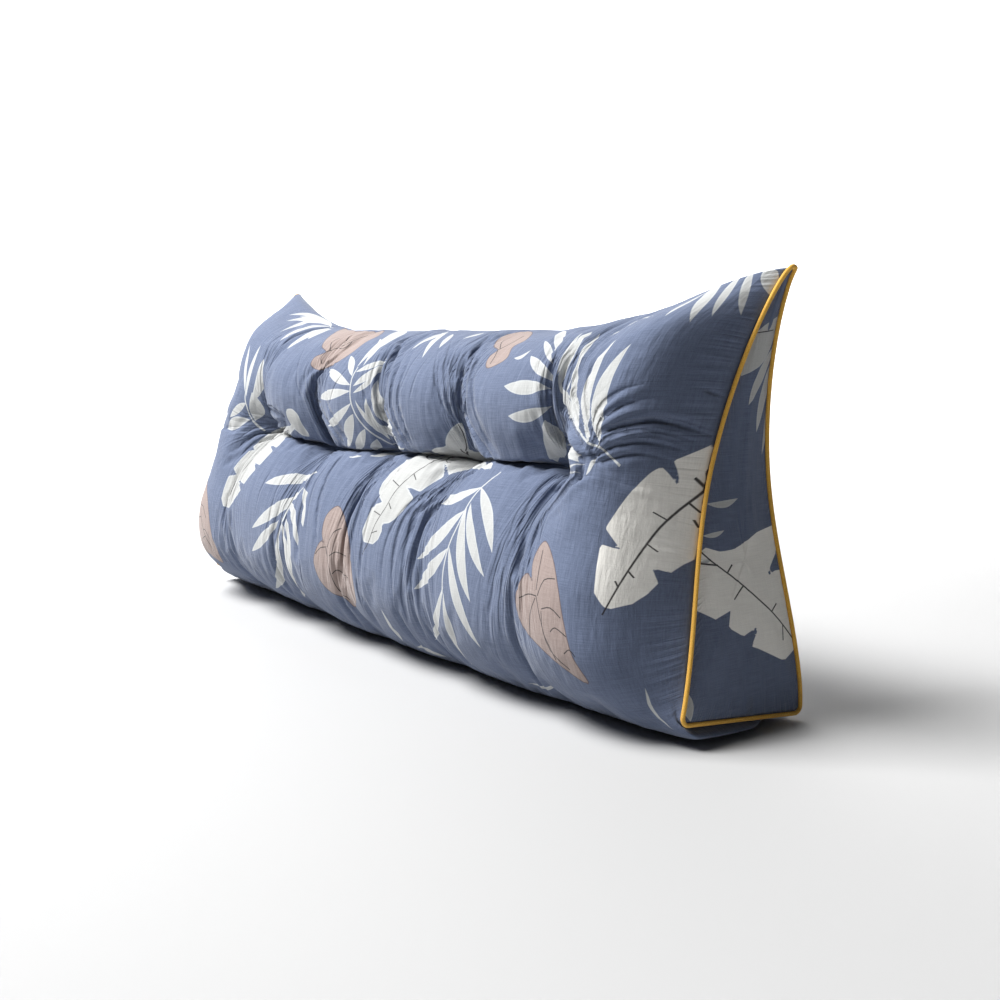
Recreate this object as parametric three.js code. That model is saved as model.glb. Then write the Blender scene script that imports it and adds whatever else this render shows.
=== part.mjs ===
// A long wedge backrest cushion, standing on its base.
// Millimetres, +Z up, +X along the cushion, -Y towards the person who leans on it.
// The cushion body is one filled solid: a roll above and a roll below a row of tufts,
// four lobes between the tufts and a plain wing at each end. A triangular end panel closes
// each end, and a round piping runs along the seam between panel and body.

import * as THREE from "three";

// Driving dimensions
const HALF_LENGTH_BASE = 400; // piped bottom corners, so 0.8 m from end to end
const HALF_LENGTH_APEX = 392;
const END_DRAW_IN = 31; // how far the filling pulls each end panel inwards
const DRAW_IN_SKEW = 1.25; // above 1 puts the deepest draw-in above mid height
const DRAW_IN_POWER_LOW = 1.2;
const DRAW_IN_POWER_HIGH = 0.7;

// Corners of the end triangle where its straight sides would meet, in the section plane
const TOE = { y: -69, z: 21, radius: 5 };
const APEX = { y: 53.5, z: 371, radius: 3 };
const HEEL = { y: 69, z: 4, radius: 5 };
const CORNER_SHARE = 0.3; // in stations, half of the girth that a rounded corner takes

const RIDGE_Z = 311; // top of the cushion between the ears
const EAR_Z = 357;
const EAR_START = 165; // the ridge rises into the ears from here outwards
const EAR_POWER_RIGHT = 1.75;
const EAR_POWER_LEFT = 2.3;
const EAR_POWER_HEIGHT = 1.2;
const EAR_FROM_Z = 200;

const WING_START = 262; // the end wings begin here, just outside the outer tufts
const WING_RISE = 62; // distance from an outer tuft to the full crown of its wing
const WING_RISE_POWER = 0.8;
const LOBE_POWER = 0.6; // below 1 makes narrow valleys and broad lobes
const END_ROUNDING = 5.5; // how squarely the wing turns in to the end seam
const END_ROUNDING_APEX = 2.5;
const APEX_REACH = 1.5; // in stations
const UNDERSIDE_PUFF = 30; // filling that bulges out below the end seam
const PUFF_END = 0.965; // the bulge stops here, so that the piping has room above it
const BASE_INSET_LEFT = 13; // the left half of the base stands a little further back

const PANEL_THICKNESS = 1.6;
const PANEL_DOME = 5;
const PANEL_RIM_INSET = 1.3;
const GAP = 0.6; // along X, between the body and what is sewn on its end
const PIPING_RADIUS = 2.2;
const PIPING_OUT = 1.2; // piping centre, outwards from the seam in the section plane
const PIPING_BEYOND = 2.2; // piping centre, beyond the seam along X
const PIPING_SIDES = 6;

const COLOURS = { cloth: 0x6b7a9c, panel: 0x5d6b8d, piping: 0xcd962d };

// Five tufts on the front, each at its own height
const TUFTS = [
  { x: -253, z: 203 },
  { x: -129, z: 187 },
  { x: -4, z: 193 },
  { x: 125, z: 197 },
  { x: 259, z: 201 },
];
const TUFT_ROW_Z = 198;
const TUFT_SHIFT_REACH = 2.2; // in stations

// Stations round the girth, one row each: y and z in the valley at a tuft,
// at the crown of a lobe, and at the crown of a wing
const STATIONS = [
  { name: "toe", tuft: [-62, 5], lobe: [-66, 4], wing: [-62, 5] },
  { name: "low1", tuft: [-90, 29], lobe: [-101, 29], wing: [-98, 29] },
  { name: "low2", tuft: [-112, 64], lobe: [-121, 64], wing: [-120, 62] },
  { name: "low3", tuft: [-114, 108], lobe: [-121, 112], wing: [-121, 108] },
  { name: "low4", tuft: [-92, 156], lobe: [-106, 157], wing: [-108, 150] },
  { name: "lipLow", tuft: [-60, 184], lobe: [-80, 187], wing: [-98, 180] },
  { name: "furrow", tuft: [-36, 196], lobe: [-60, 199], wing: [-91, 200] },
  { name: "lipHigh", tuft: [-50, 211], lobe: [-74, 211], wing: [-86, 219] },
  { name: "up1", tuft: [-62, 232], lobe: [-84, 232], wing: [-77, 241] },
  { name: "up2", tuft: [-66, 260], lobe: [-82, 262], wing: [-66, 266] },
  { name: "up3", tuft: [-52, 287], lobe: [-58, 290], wing: [-45, 291] },
  { name: "ridgeFront", tuft: [-22, 305], lobe: [-24, 306], wing: [-10, 304] },
  { name: "ridge", tuft: [20, 311], lobe: [20, 311], wing: [25, 311] },
  { name: "ridgeBack", tuft: [52, 292], lobe: [54, 296], wing: [52, 296] },
  { name: "back1", tuft: [64, 250], lobe: [70, 256], wing: [66, 256] },
  { name: "back2", tuft: [66, 200], lobe: [77, 200], wing: [72, 200] },
  { name: "back3", tuft: [74, 130], lobe: [80, 130], wing: [75, 130] },
  { name: "back4", tuft: [76, 60], lobe: [78, 60], wing: [76, 60] },
  { name: "heel", tuft: [62, 10], lobe: [62, 8], wing: [62, 8] },
  { name: "underBack", tuft: [30, 0], lobe: [30, 0], wing: [30, 0] },
  { name: "underMid", tuft: [0, 0], lobe: [0, 0], wing: [0, 0] },
  { name: "underFront", tuft: [-36, 0], lobe: [-36, 0], wing: [-34, 0] },
];
const COUNT = STATIONS.length;
const stationIndex = (name) => STATIONS.findIndex((station) => station.name === name);
const FURROW = stationIndex("furrow");
const RIDGE = stationIndex("ridge");
const HEEL_STATION = stationIndex("heel");

// Sampling: steps per station on the front and elsewhere, extra samples at the seam corners
const STEPS_FRONT = 3;
const STEPS_REST = 2;
const CORNER_SAMPLES = [-0.3, -0.18, -0.06, 0.06, 0.18, 0.3];
const ROWS_PER_LOBE = 8;
const WING_ROWS = [0.2, 0.4, 0.56, 0.7, 0.8, 0.87, 0.93, PUFF_END, 1];
const PANEL_RINGS = [1, 0.7, 0.4];

const clamp01 = (value) => Math.min(1, Math.max(0, value));
const smooth = (value) => {
  const k = clamp01(value);
  return k * k * (3 - 2 * k);
};
const wrap = (value) => ((value % COUNT) + COUNT) % COUNT;
// Signed distance round the girth, in stations
const around = (v, centre) => wrap(v - centre + COUNT / 2) - COUNT / 2;
const bell = (distance, reach) => Math.exp(-((distance / reach) ** 2));

// Cubic curve round the girth through one column of the station table
function girthPoint(column, v) {
  const k = Math.floor(wrap(v));
  const f = wrap(v) - k;
  const p = [-1, 0, 1, 2].map((step) => STATIONS[(k + step + COUNT) % COUNT][column]);
  const blend = [
    -0.5 * f + f * f - 0.5 * f ** 3,
    1 - 2.5 * f * f + 1.5 * f ** 3,
    0.5 * f + 2 * f * f - 1.5 * f ** 3,
    -0.5 * f * f + 0.5 * f ** 3,
  ];
  const sum = (axis) => blend.reduce((total, b, i) => total + b * p[i][axis], 0);
  return { y: sum(0), z: sum(1) };
}

// The end triangle with its corners rounded to arcs. It runs from toe to apex to heel,
// so its outside is on the left of its direction.
const CORNERS = [
  { at: 0, ...TOE },
  { at: RIDGE, ...APEX },
  { at: HEEL_STATION, ...HEEL },
];
function direction(from, to) {
  const length = Math.hypot(to.y - from.y, to.z - from.z);
  return { y: (to.y - from.y) / length, z: (to.z - from.z) / length };
}
const ARCS = CORNERS.map((corner, i) => {
  const before = direction(CORNERS[(i + 2) % 3], corner);
  const after = direction(corner, CORNERS[(i + 1) % 3]);
  const turn = Math.acos(before.y * after.y + before.z * after.z);
  const leg = corner.radius * Math.tan(turn / 2);
  const start = { y: corner.y - before.y * leg, z: corner.z - before.z * leg };
  const end = { y: corner.y + after.y * leg, z: corner.z + after.z * leg };
  return { ...corner, before, after, turn, start, end };
});
// Point of the end seam, with the outward direction there
function seamPoint(v) {
  for (const arc of ARCS) {
    const d = around(v, arc.at);
    if (Math.abs(d) <= CORNER_SHARE) {
      const angle = (arc.turn * (d + CORNER_SHARE)) / (2 * CORNER_SHARE);
      const first = { y: -arc.before.z, z: arc.before.y };
      const outY = first.y * Math.cos(angle) + first.z * Math.sin(angle);
      const outZ = first.z * Math.cos(angle) - first.y * Math.sin(angle);
      const y = arc.start.y + arc.radius * (outY - first.y);
      const z = arc.start.z + arc.radius * (outZ - first.z);
      return { y, z, outY, outZ };
    }
  }
  const w = wrap(v);
  const side = ARCS.findLastIndex((arc) => arc.at <= w);
  const [from, to] = [ARCS[side], ARCS[(side + 1) % 3]];
  const span = wrap(to.at - from.at) - 2 * CORNER_SHARE;
  const f = (w - from.at - CORNER_SHARE) / span;
  const y = from.end.y + f * (to.start.y - from.end.y);
  const z = from.end.z + f * (to.start.z - from.end.z);
  return { y, z, outY: -from.after.z, outZ: from.after.y };
}
// Half length of the cushion at a height on its end, drawn in between the corners
function endX(z) {
  const w = clamp01((z - TOE.z) / (EAR_Z - TOE.z));
  const phase = w ** DRAW_IN_SKEW;
  const power = phase > 0.5 ? DRAW_IN_POWER_HIGH : DRAW_IN_POWER_LOW;
  const drawn = END_DRAW_IN * Math.abs(Math.sin(Math.PI * phase)) ** power;
  return HALF_LENGTH_BASE + (HALF_LENGTH_APEX - HALF_LENGTH_BASE) * w - drawn;
}
function ridgeRise(x) {
  const s = clamp01((Math.abs(x) - EAR_START) / (HALF_LENGTH_APEX - EAR_START));
  return (EAR_Z - RIDGE_Z) * s ** (x > 0 ? EAR_POWER_RIGHT : EAR_POWER_LEFT);
}

// Shares of the tuft, lobe and wing columns at a place along the cushion
function sectionShares(x) {
  const last = TUFTS.length - 1;
  if (x <= TUFTS[0].x || x >= TUFTS[last].x) {
    const beyond = Math.max(TUFTS[0].x - x, x - TUFTS[last].x);
    const wing = Math.sin((Math.PI / 2) * clamp01(beyond / WING_RISE)) ** WING_RISE_POWER;
    return { tuft: 1 - wing, lobe: 0, wing, rowZ: x < 0 ? TUFTS[0].z : TUFTS[last].z };
  }
  const i = TUFTS.findIndex((tuft, k) => k < last && x <= TUFTS[k + 1].x);
  const phase = (x - TUFTS[i].x) / (TUFTS[i + 1].x - TUFTS[i].x);
  const lobe = Math.sin(Math.PI * phase) ** LOBE_POWER;
  const rowZ = TUFTS[i].z + phase * (TUFTS[i + 1].z - TUFTS[i].z);
  return { tuft: 1 - lobe, lobe, wing: 0, rowZ };
}

// Point on the body: along runs from -1 to 1 from seam to seam, v round the girth in stations
function bodyPoint(along, v) {
  const side = Math.sign(along);
  const flat = along * HALF_LENGTH_BASE;
  const t = clamp01((Math.abs(flat) - WING_START) / (HALF_LENGTH_BASE - WING_START));
  const near = bell(around(v, RIDGE), APEX_REACH);
  const toSeam = t ** (END_ROUNDING + (END_ROUNDING_APEX - END_ROUNDING) * near);
  const seam = seamPoint(v);
  const under = smooth((around(v, 0) + 3.6) / 1.6) * smooth((0.9 - around(v, 0)) / 1.2);
  const puff = UNDERSIDE_PUFF * under * Math.sin(Math.PI * Math.min(1, t / PUFF_END) ** 4);
  const x = t > 0 ? side * (WING_START + (endX(seam.z) - WING_START) * t + puff) : flat;

  const share = sectionShares(flat);
  const point = { y: 0, z: 0 };
  for (const column of ["tuft", "lobe", "wing"]) {
    const p = girthPoint(column, v);
    point.y += share[column] * p.y;
    point.z += share[column] * p.z;
  }
  point.z += (share.rowZ - TUFT_ROW_Z) * bell(v - FURROW, TUFT_SHIFT_REACH);
  point.y += BASE_INSET_LEFT * clamp01((-40 - flat) / 150) * bell(around(v, 0.3), 1.1);
  const height = clamp01((point.z - EAR_FROM_Z) / (RIDGE_Z - EAR_FROM_Z));
  point.z += ridgeRise(x) * height ** EAR_POWER_HEIGHT;
  point.y += (seam.y - point.y) * toSeam;
  point.z += (seam.z - point.z) * toSeam;
  return new THREE.Vector3(x, point.y, Math.max(0, point.z));
}

// Sample places round the girth and along the body
function girthSamples() {
  const places = [];
  for (let k = 0; k < COUNT; k += 1) {
    const steps = k < RIDGE ? STEPS_FRONT : STEPS_REST;
    for (let i = 0; i < steps; i += 1) places.push(k + i / steps);
  }
  for (const corner of [0, RIDGE, HEEL_STATION]) {
    for (const offset of CORNER_SAMPLES) places.push(wrap(corner + offset));
  }
  return places.sort((a, b) => a - b);
}
function alongSamples() {
  const wing = WING_ROWS.map((t) => WING_START + t * (HALF_LENGTH_BASE - WING_START));
  const middle = [];
  for (let i = 0; i + 1 < TUFTS.length; i += 1) {
    for (let row = 0; row < ROWS_PER_LOBE; row += 1) {
      const phase = row / ROWS_PER_LOBE;
      middle.push(TUFTS[i].x + phase * (TUFTS[i + 1].x - TUFTS[i].x));
    }
  }
  middle.push(TUFTS[TUFTS.length - 1].x);
  const left = wing.map((x) => -x).reverse();
  return [...left, ...middle, ...wing].map((x) => x / HALF_LENGTH_BASE);
}
const GIRTH = girthSamples();
const ALONG = alongSamples();
const SECTION_CENTRE = {
  y: (TOE.y + APEX.y + HEEL.y) / 3,
  z: (TOE.z + APEX.z + HEEL.z) / 3,
};

// Two triangles for a quad of points a, b, c, d, split along its shorter diagonal
function splitQuad(points, a, b, c, d) {
  const acrossAC = points[a].distanceTo(points[c]);
  const acrossBD = points[b].distanceTo(points[d]);
  return acrossAC < acrossBD ? [a, b, c, a, c, d] : [a, b, d, b, c, d];
}
// A closed solid from rings of equal length, with a point at each end of the stack
function solidFromRings(firstPole, rings, lastPole) {
  const count = rings[0].length;
  const points = [firstPole, ...rings.flat(), lastPole];
  const at = (ring, i) => 1 + ring * count + (i % count);
  const index = [];
  for (let i = 0; i < count; i += 1) {
    index.push(0, at(0, i), at(0, i + 1));
    index.push(points.length - 1, at(rings.length - 1, i + 1), at(rings.length - 1, i));
    for (let ring = 0; ring + 1 < rings.length; ring += 1) {
      const corners = [at(ring, i), at(ring + 1, i), at(ring + 1, i + 1), at(ring, i + 1)];
      index.push(...splitQuad(points, ...corners));
    }
  }
  return geometryFrom(points, index);
}
// A closed solid from rings of equal length that meet again, the last with the first
function loopFromRings(rings) {
  const count = rings[0].length;
  const points = rings.flat();
  const at = (ring, i) => (ring % rings.length) * count + (i % count);
  const index = [];
  for (let ring = 0; ring < rings.length; ring += 1) {
    for (let i = 0; i < count; i += 1) {
      const corners = [at(ring, i), at(ring + 1, i), at(ring + 1, i + 1), at(ring, i + 1)];
      index.push(...splitQuad(points, ...corners));
    }
  }
  return geometryFrom(points, index);
}
// Buffer geometry whose faces point out, whichever way the rings ran
function geometryFrom(points, index) {
  let volume = 0;
  for (let i = 0; i < index.length; i += 3) {
    const [a, b, c] = [points[index[i]], points[index[i + 1]], points[index[i + 2]]];
    volume += a.dot(new THREE.Vector3().crossVectors(b, c));
  }
  if (volume < 0) index.reverse();
  const geometry = new THREE.BufferGeometry().setFromPoints(points);
  geometry.setIndex(index);
  geometry.computeVertexNormals();
  return geometry;
}

// Surface of an end panel's inner face; ring is 0 at the centre and 1 at the rim
function panelPoint(side, v, ring, lift) {
  const seam = seamPoint(v);
  const rimY = seam.y - seam.outY * PANEL_RIM_INSET;
  const rimZ = seam.z - seam.outZ * PANEL_RIM_INSET;
  const y = SECTION_CENTRE.y + (rimY - SECTION_CENTRE.y) * ring;
  const z = SECTION_CENTRE.z + (rimZ - SECTION_CENTRE.z) * ring;
  const dome = PANEL_DOME * (1 - ring * ring);
  return new THREE.Vector3(side * (endX(z) + dome + lift), y, z);
}
const panelRing = (side, ring, lift) => GIRTH.map((v) => panelPoint(side, v, ring, lift));

function bodyGeometry() {
  const cap = (side) => PANEL_RINGS.map((ring) => panelRing(side, ring, -GAP));
  const rows = ALONG.map((along) =>
    GIRTH.map((v) => {
      const p = bodyPoint(along, v);
      if (Math.abs(along) === 1) p.x -= along * GAP;
      return p;
    }),
  );
  const rings = [...cap(-1).reverse(), ...rows, ...cap(1)];
  return solidFromRings(panelPoint(-1, 0, 0, -GAP), rings, panelPoint(1, 0, 0, -GAP));
}
function panelGeometry(side) {
  const inner = PANEL_RINGS.map((ring) => panelRing(side, ring, 0)).reverse();
  const outer = PANEL_RINGS.map((ring) => panelRing(side, ring, PANEL_THICKNESS));
  const innerPole = panelPoint(side, 0, 0, 0);
  const outerPole = panelPoint(side, 0, 0, PANEL_THICKNESS);
  return solidFromRings(innerPole, [...inner, ...outer], outerPole);
}
function pipingGeometry(side) {
  const centres = GIRTH.map((v) => {
    const seam = seamPoint(v);
    const x = side * (endX(seam.z) + PIPING_BEYOND);
    const y = seam.y + seam.outY * PIPING_OUT;
    return new THREE.Vector3(x, y, seam.z + seam.outZ * PIPING_OUT);
  });
  const rings = centres.map((centre, i) => {
    const next = centres[(i + 1) % centres.length];
    const last = centres[(i + centres.length - 1) % centres.length];
    const tangent = new THREE.Vector3().subVectors(next, last).normalize();
    const across = new THREE.Vector3(1, 0, 0).cross(tangent).normalize();
    const up = new THREE.Vector3().crossVectors(tangent, across);
    return Array.from({ length: PIPING_SIDES }, (_, k) => {
      const angle = (2 * Math.PI * k) / PIPING_SIDES;
      return centre
        .clone()
        .addScaledVector(across, PIPING_RADIUS * Math.cos(angle))
        .addScaledVector(up, PIPING_RADIUS * Math.sin(angle));
    });
  });
  return loopFromRings(rings);
}

function named(name, geometry, colour) {
  const material = new THREE.MeshStandardMaterial({ color: colour, roughness: 0.9, metalness: 0 });
  const mesh = new THREE.Mesh(geometry, material);
  mesh.name = name;
  return mesh;
}

const body = named("cushion_body", bodyGeometry(), COLOURS.cloth);
const cushion = new THREE.Group();
cushion.add(body);
for (const [word, side] of [["left", -1], ["right", 1]]) {
  const end = new THREE.Group();
  end.add(named(`end_panel_${word}`, panelGeometry(side), COLOURS.panel));
  end.add(named(`piping_${word}`, pipingGeometry(side), COLOURS.piping));
  cushion.add(end);
}

// The origin is under the middle of the cushion, where it stands
const extent = new THREE.Box3().setFromObject(cushion);
cushion.position.y = -(extent.min.y + extent.max.y) / 2;
const part = new THREE.Group();
part.add(cushion);

export default part;
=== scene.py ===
"""Dresses the wedge backrest pillow: creased linen cover with a leaf print, end panels and piping.

Shapes are worked out in millimetres in the section frame of the cushion (y towards the back,
z up), then moved to the row frame in metres. Cloth coordinates are millimetres too: u along
the cushion and w round its girth, 0 at the front foot and growing upwards over the front.
"""
import math

import bpy
import numpy as np
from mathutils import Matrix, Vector
from mathutils.bvhtree import BVHTree


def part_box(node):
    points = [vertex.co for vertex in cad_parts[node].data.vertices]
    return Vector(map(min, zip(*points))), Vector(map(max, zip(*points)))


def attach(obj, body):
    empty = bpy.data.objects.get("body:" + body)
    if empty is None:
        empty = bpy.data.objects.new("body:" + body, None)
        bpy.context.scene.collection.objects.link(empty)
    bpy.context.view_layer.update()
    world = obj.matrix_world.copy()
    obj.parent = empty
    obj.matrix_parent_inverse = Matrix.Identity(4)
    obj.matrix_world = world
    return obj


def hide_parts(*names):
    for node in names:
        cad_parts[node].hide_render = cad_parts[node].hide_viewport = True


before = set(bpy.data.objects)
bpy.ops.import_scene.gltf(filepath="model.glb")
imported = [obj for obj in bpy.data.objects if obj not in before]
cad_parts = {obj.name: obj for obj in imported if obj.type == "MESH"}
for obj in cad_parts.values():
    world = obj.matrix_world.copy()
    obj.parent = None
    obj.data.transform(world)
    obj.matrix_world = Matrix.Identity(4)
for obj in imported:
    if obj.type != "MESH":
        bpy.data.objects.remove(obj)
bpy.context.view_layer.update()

MM = 0.001

# ---------------------------------------------------------------- form of the cushion, in mm
HALF_BASE, HALF_APEX = 400.0, 392.0
DRAW_IN, DRAW_SKEW = 31.0, 1.25
DRAW_LOW, DRAW_HIGH, DRAW_HIGH_LEFT = 1.2, 0.7, 1.35  # powers of the curve that draws the ends in
LEFT_EAR_FULL, LEFT_EAR_AT, LEFT_EAR_REACH = 6.0, 11.0, 1.5  # mm, then stations
LEFT_SEAM_FULL, LEFT_SEAM_Z, LEFT_SEAM_REACH = 6.0, 338.0, 20.0
CORNERS = [  # station, y, z, radius of the end triangle's corners
    (0, -69.0, 21.0, 5.0),
    (12, 53.5, 371.0, 3.0),
    (18, 66.0, 5.5, 5.0),
]
CORNER_SHARE = 0.3
RIDGE_Z, EAR_Z, EAR_START, EAR_FROM_Z = 311.0, 357.0, 165.0, 200.0
EAR_POWER_X, EAR_POWER_Z = 1.75, 1.2
WING_START, WING_RISE = 262.0, 62.0
LOBE_POWER, WING_POWER = 0.6, 0.8
SEAM_HOLD, RIDGE_HOLD, RIDGE_REACH = 5.5, 3.0, 1.5  # power of the turn into the end seams, less at the ridge
UNDERSIDE_PUFF, PUFF_END, PUFF_POWER = 30.0, 0.965, 4
PUFF_BEHIND, PUFF_BEFORE = (3.6, 1.6), (0.9, 1.2)  # stations from the foot, and over how many it fades
BASE_INSET, INSET_FROM, INSET_OVER = 13.0, -40.0, 150.0
INSET_AT, INSET_REACH, ROW_REACH = 0.3, 1.1, 2.2  # stations
LIP_FILL, LIP_REACH = 11.0, 15.0
LIP_DROP, LIP_RAISE, LIP_AT, LIP_SPREAD = 5.5, 2.5, 12.0, 10.0
SLIT_DEPTH, SLIT_WIDTH = 9.0, 3.4
PANEL_THICKNESS, PANEL_DOME, PANEL_INSET, GAP = 1.6, 5.0, 1.3, 0.6
PIPING_RADIUS, PIPING_OUT, PIPING_BEYOND = 1.8, {1: 0.9, -1: -1.2}, 2.0

TUFTS = np.array([(-253, 203), (-129, 187), (-4, 193), (125, 197), (259, 201)], float)  # x, z
ROW_Z = 198.0
STATIONS = [  # y, z at a tuft, at the crown of a lobe, at the crown of a wing
    ((-62, 5), (-66, 4), (-62, 5)),
    ((-90, 29), (-101, 29), (-98, 29)),
    ((-112, 64), (-121, 64), (-120, 62)),
    ((-114, 108), (-121, 112), (-121, 108)),
    ((-92, 156), (-106, 157), (-108, 150)),
    ((-60, 184), (-80, 187), (-98, 180)),
    ((-36, 196), (-60, 199), (-91, 200)),
    ((-50, 211), (-74, 211), (-86, 219)),
    ((-62, 232), (-84, 232), (-77, 241)),
    ((-66, 260), (-82, 262), (-66, 266)),
    ((-52, 287), (-58, 290), (-45, 291)),
    ((-22, 305), (-24, 306), (-10, 304)),
    ((20, 311), (20, 311), (25, 311)),
    ((52, 292), (54, 296), (52, 296)),
    ((64, 250), (70, 256), (66, 256)),
    ((66, 200), (77, 200), (72, 200)),
    ((74, 130), (80, 130), (75, 130)),
    ((76, 60), (78, 60), (76, 60)),
    ((62, 10), (62, 8), (62, 8)),
    ((30, 0), (30, 0), (30, 0)),
    ((0, 0), (0, 0), (0, 0)),
    ((-36, 0), (-36, 0), (-34, 0)),
]
COUNT = len(STATIONS)
FURROW, RIDGE, HEEL, UNDER_MID = 6, 12, 18, 20


def clamp01(a):
    return np.clip(a, 0.0, 1.0)


def smooth(a):
    k = clamp01(a)
    return k * k * (3 - 2 * k)


def bell(distance, reach):
    return np.exp(-((distance / reach) ** 2))


def around(v, centre):
    """Signed distance round the girth, in stations"""
    return np.mod(v - centre + COUNT / 2, COUNT) - COUNT / 2


def end_share(u):
    """Share of the way from the start of a wing to the end seam"""
    return clamp01((np.abs(u) - WING_START) / (HALF_BASE - WING_START))


def catmull(p0, p1, p2, p3, f):
    """Smooth line through four points, at the share f of the way from the second to the third"""
    return (
        p0 * (-0.5 * f + f**2 - 0.5 * f**3)
        + p1 * (1 - 2.5 * f**2 + 1.5 * f**3)
        + p2 * (0.5 * f + 2 * f**2 - 1.5 * f**3)
        + p3 * (-0.5 * f**2 + 0.5 * f**3)
    )


def girth_curve(column, v):
    points = np.array([row[column] for row in STATIONS], float)
    k = np.floor(v).astype(int)
    return catmull(*(points[(k + step) % COUNT] for step in (-1, 0, 1, 2)), (v - k)[..., None])


def grid_faces(rows, cols, closed):
    """Corners of the faces of a grid of points, which may close on itself along its rows"""
    index = np.arange(rows * cols).reshape(rows, cols)
    right = np.roll(index, -1, 1) if closed else index[:, 1:]
    left = index if closed else index[:, :-1]
    return np.stack([left[:-1], left[1:], right[1:], right[:-1]], -1).reshape(-1, 4)


def placed(name, data):
    """A new object in the scene"""
    made = bpy.data.objects.new(name, data)
    bpy.context.scene.collection.objects.link(made)
    return made


def seam(v):
    """y, z of the end seam and its outward direction, for stations v"""
    v = np.asarray(v, float)
    corner = [np.array(c[1:3]) for c in CORNERS]
    arcs = []
    for i, (at, _, _, radius) in enumerate(CORNERS):
        before = corner[i] - corner[i - 1]
        after = corner[(i + 1) % 3] - corner[i]
        before, after = before / np.hypot(*before), after / np.hypot(*after)
        turn = math.acos(float(before @ after))
        leg = radius * math.tan(turn / 2)
        arcs.append((at, radius, before, after, turn, corner[i] - before * leg, corner[i] + after * leg))
    out = np.zeros(v.shape + (4,))
    for i, (at, radius, before, after, turn, start, end) in enumerate(arcs):
        following = arcs[(i + 1) % 3]
        span = (following[0] - at) % COUNT - 2 * CORNER_SHARE
        f = (np.mod(v - at, COUNT) - CORNER_SHARE) / span
        line = (f > 0) & (f < 1)
        point = end + f[..., None] * (following[5] - end)
        out[line, :2] = point[line]
        out[line, 2:] = (-after[1], after[0])
        d = around(v, at)
        bend = np.abs(d) <= CORNER_SHARE
        angle = (turn * (d + CORNER_SHARE) / (2 * CORNER_SHARE))[bend]
        first = np.array([-before[1], before[0]])
        way = np.stack([
            first[0] * np.cos(angle) + first[1] * np.sin(angle),
            first[1] * np.cos(angle) - first[0] * np.sin(angle),
        ], -1)
        out[bend, :2] = start + radius * (way - first)
        out[bend, 2:] = way
    return out


def end_seam(v, side):
    """The end seam with the left ear's fuller front"""
    ring = seam(v)
    near = bell(ring[..., 1] - LEFT_SEAM_Z, LEFT_SEAM_REACH)
    full = LEFT_SEAM_FULL * (np.asarray(side) < 0) * near * (ring[..., 2] < 0)
    ring[..., 0] += full * ring[..., 2]
    return ring


def end_x(z, side=1):
    """How far out the end seam runs at height z"""
    w = clamp01((z - CORNERS[0][2]) / (EAR_Z - CORNERS[0][2]))
    phase = w**DRAW_SKEW
    high = np.where(np.asarray(side) < 0, DRAW_HIGH_LEFT, DRAW_HIGH)
    power = np.where(phase > 0.5, high, DRAW_LOW)
    return HALF_BASE + (HALF_APEX - HALF_BASE) * w - DRAW_IN * np.abs(np.sin(np.pi * phase)) ** power


def shares(x):
    """Shares of the tuft, lobe and wing sections along the cushion, and the tuft row's height"""
    tx = TUFTS[:, 0]
    i = np.clip(np.searchsorted(tx, x) - 1, 0, len(tx) - 2)
    phase = clamp01((x - tx[i]) / (tx[i + 1] - tx[i]))
    inner = (x > tx[0]) & (x < tx[-1])
    lobe = np.where(inner, np.sin(np.pi * phase) ** LOBE_POWER, 0.0)
    beyond = np.maximum(tx[0] - x, x - tx[-1])
    wing = np.where(inner, 0.0, np.sin(np.pi / 2 * clamp01(beyond / WING_RISE)) ** WING_POWER)
    return 1 - lobe - wing, lobe, wing, np.interp(x, tx, TUFTS[:, 1])


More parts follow.
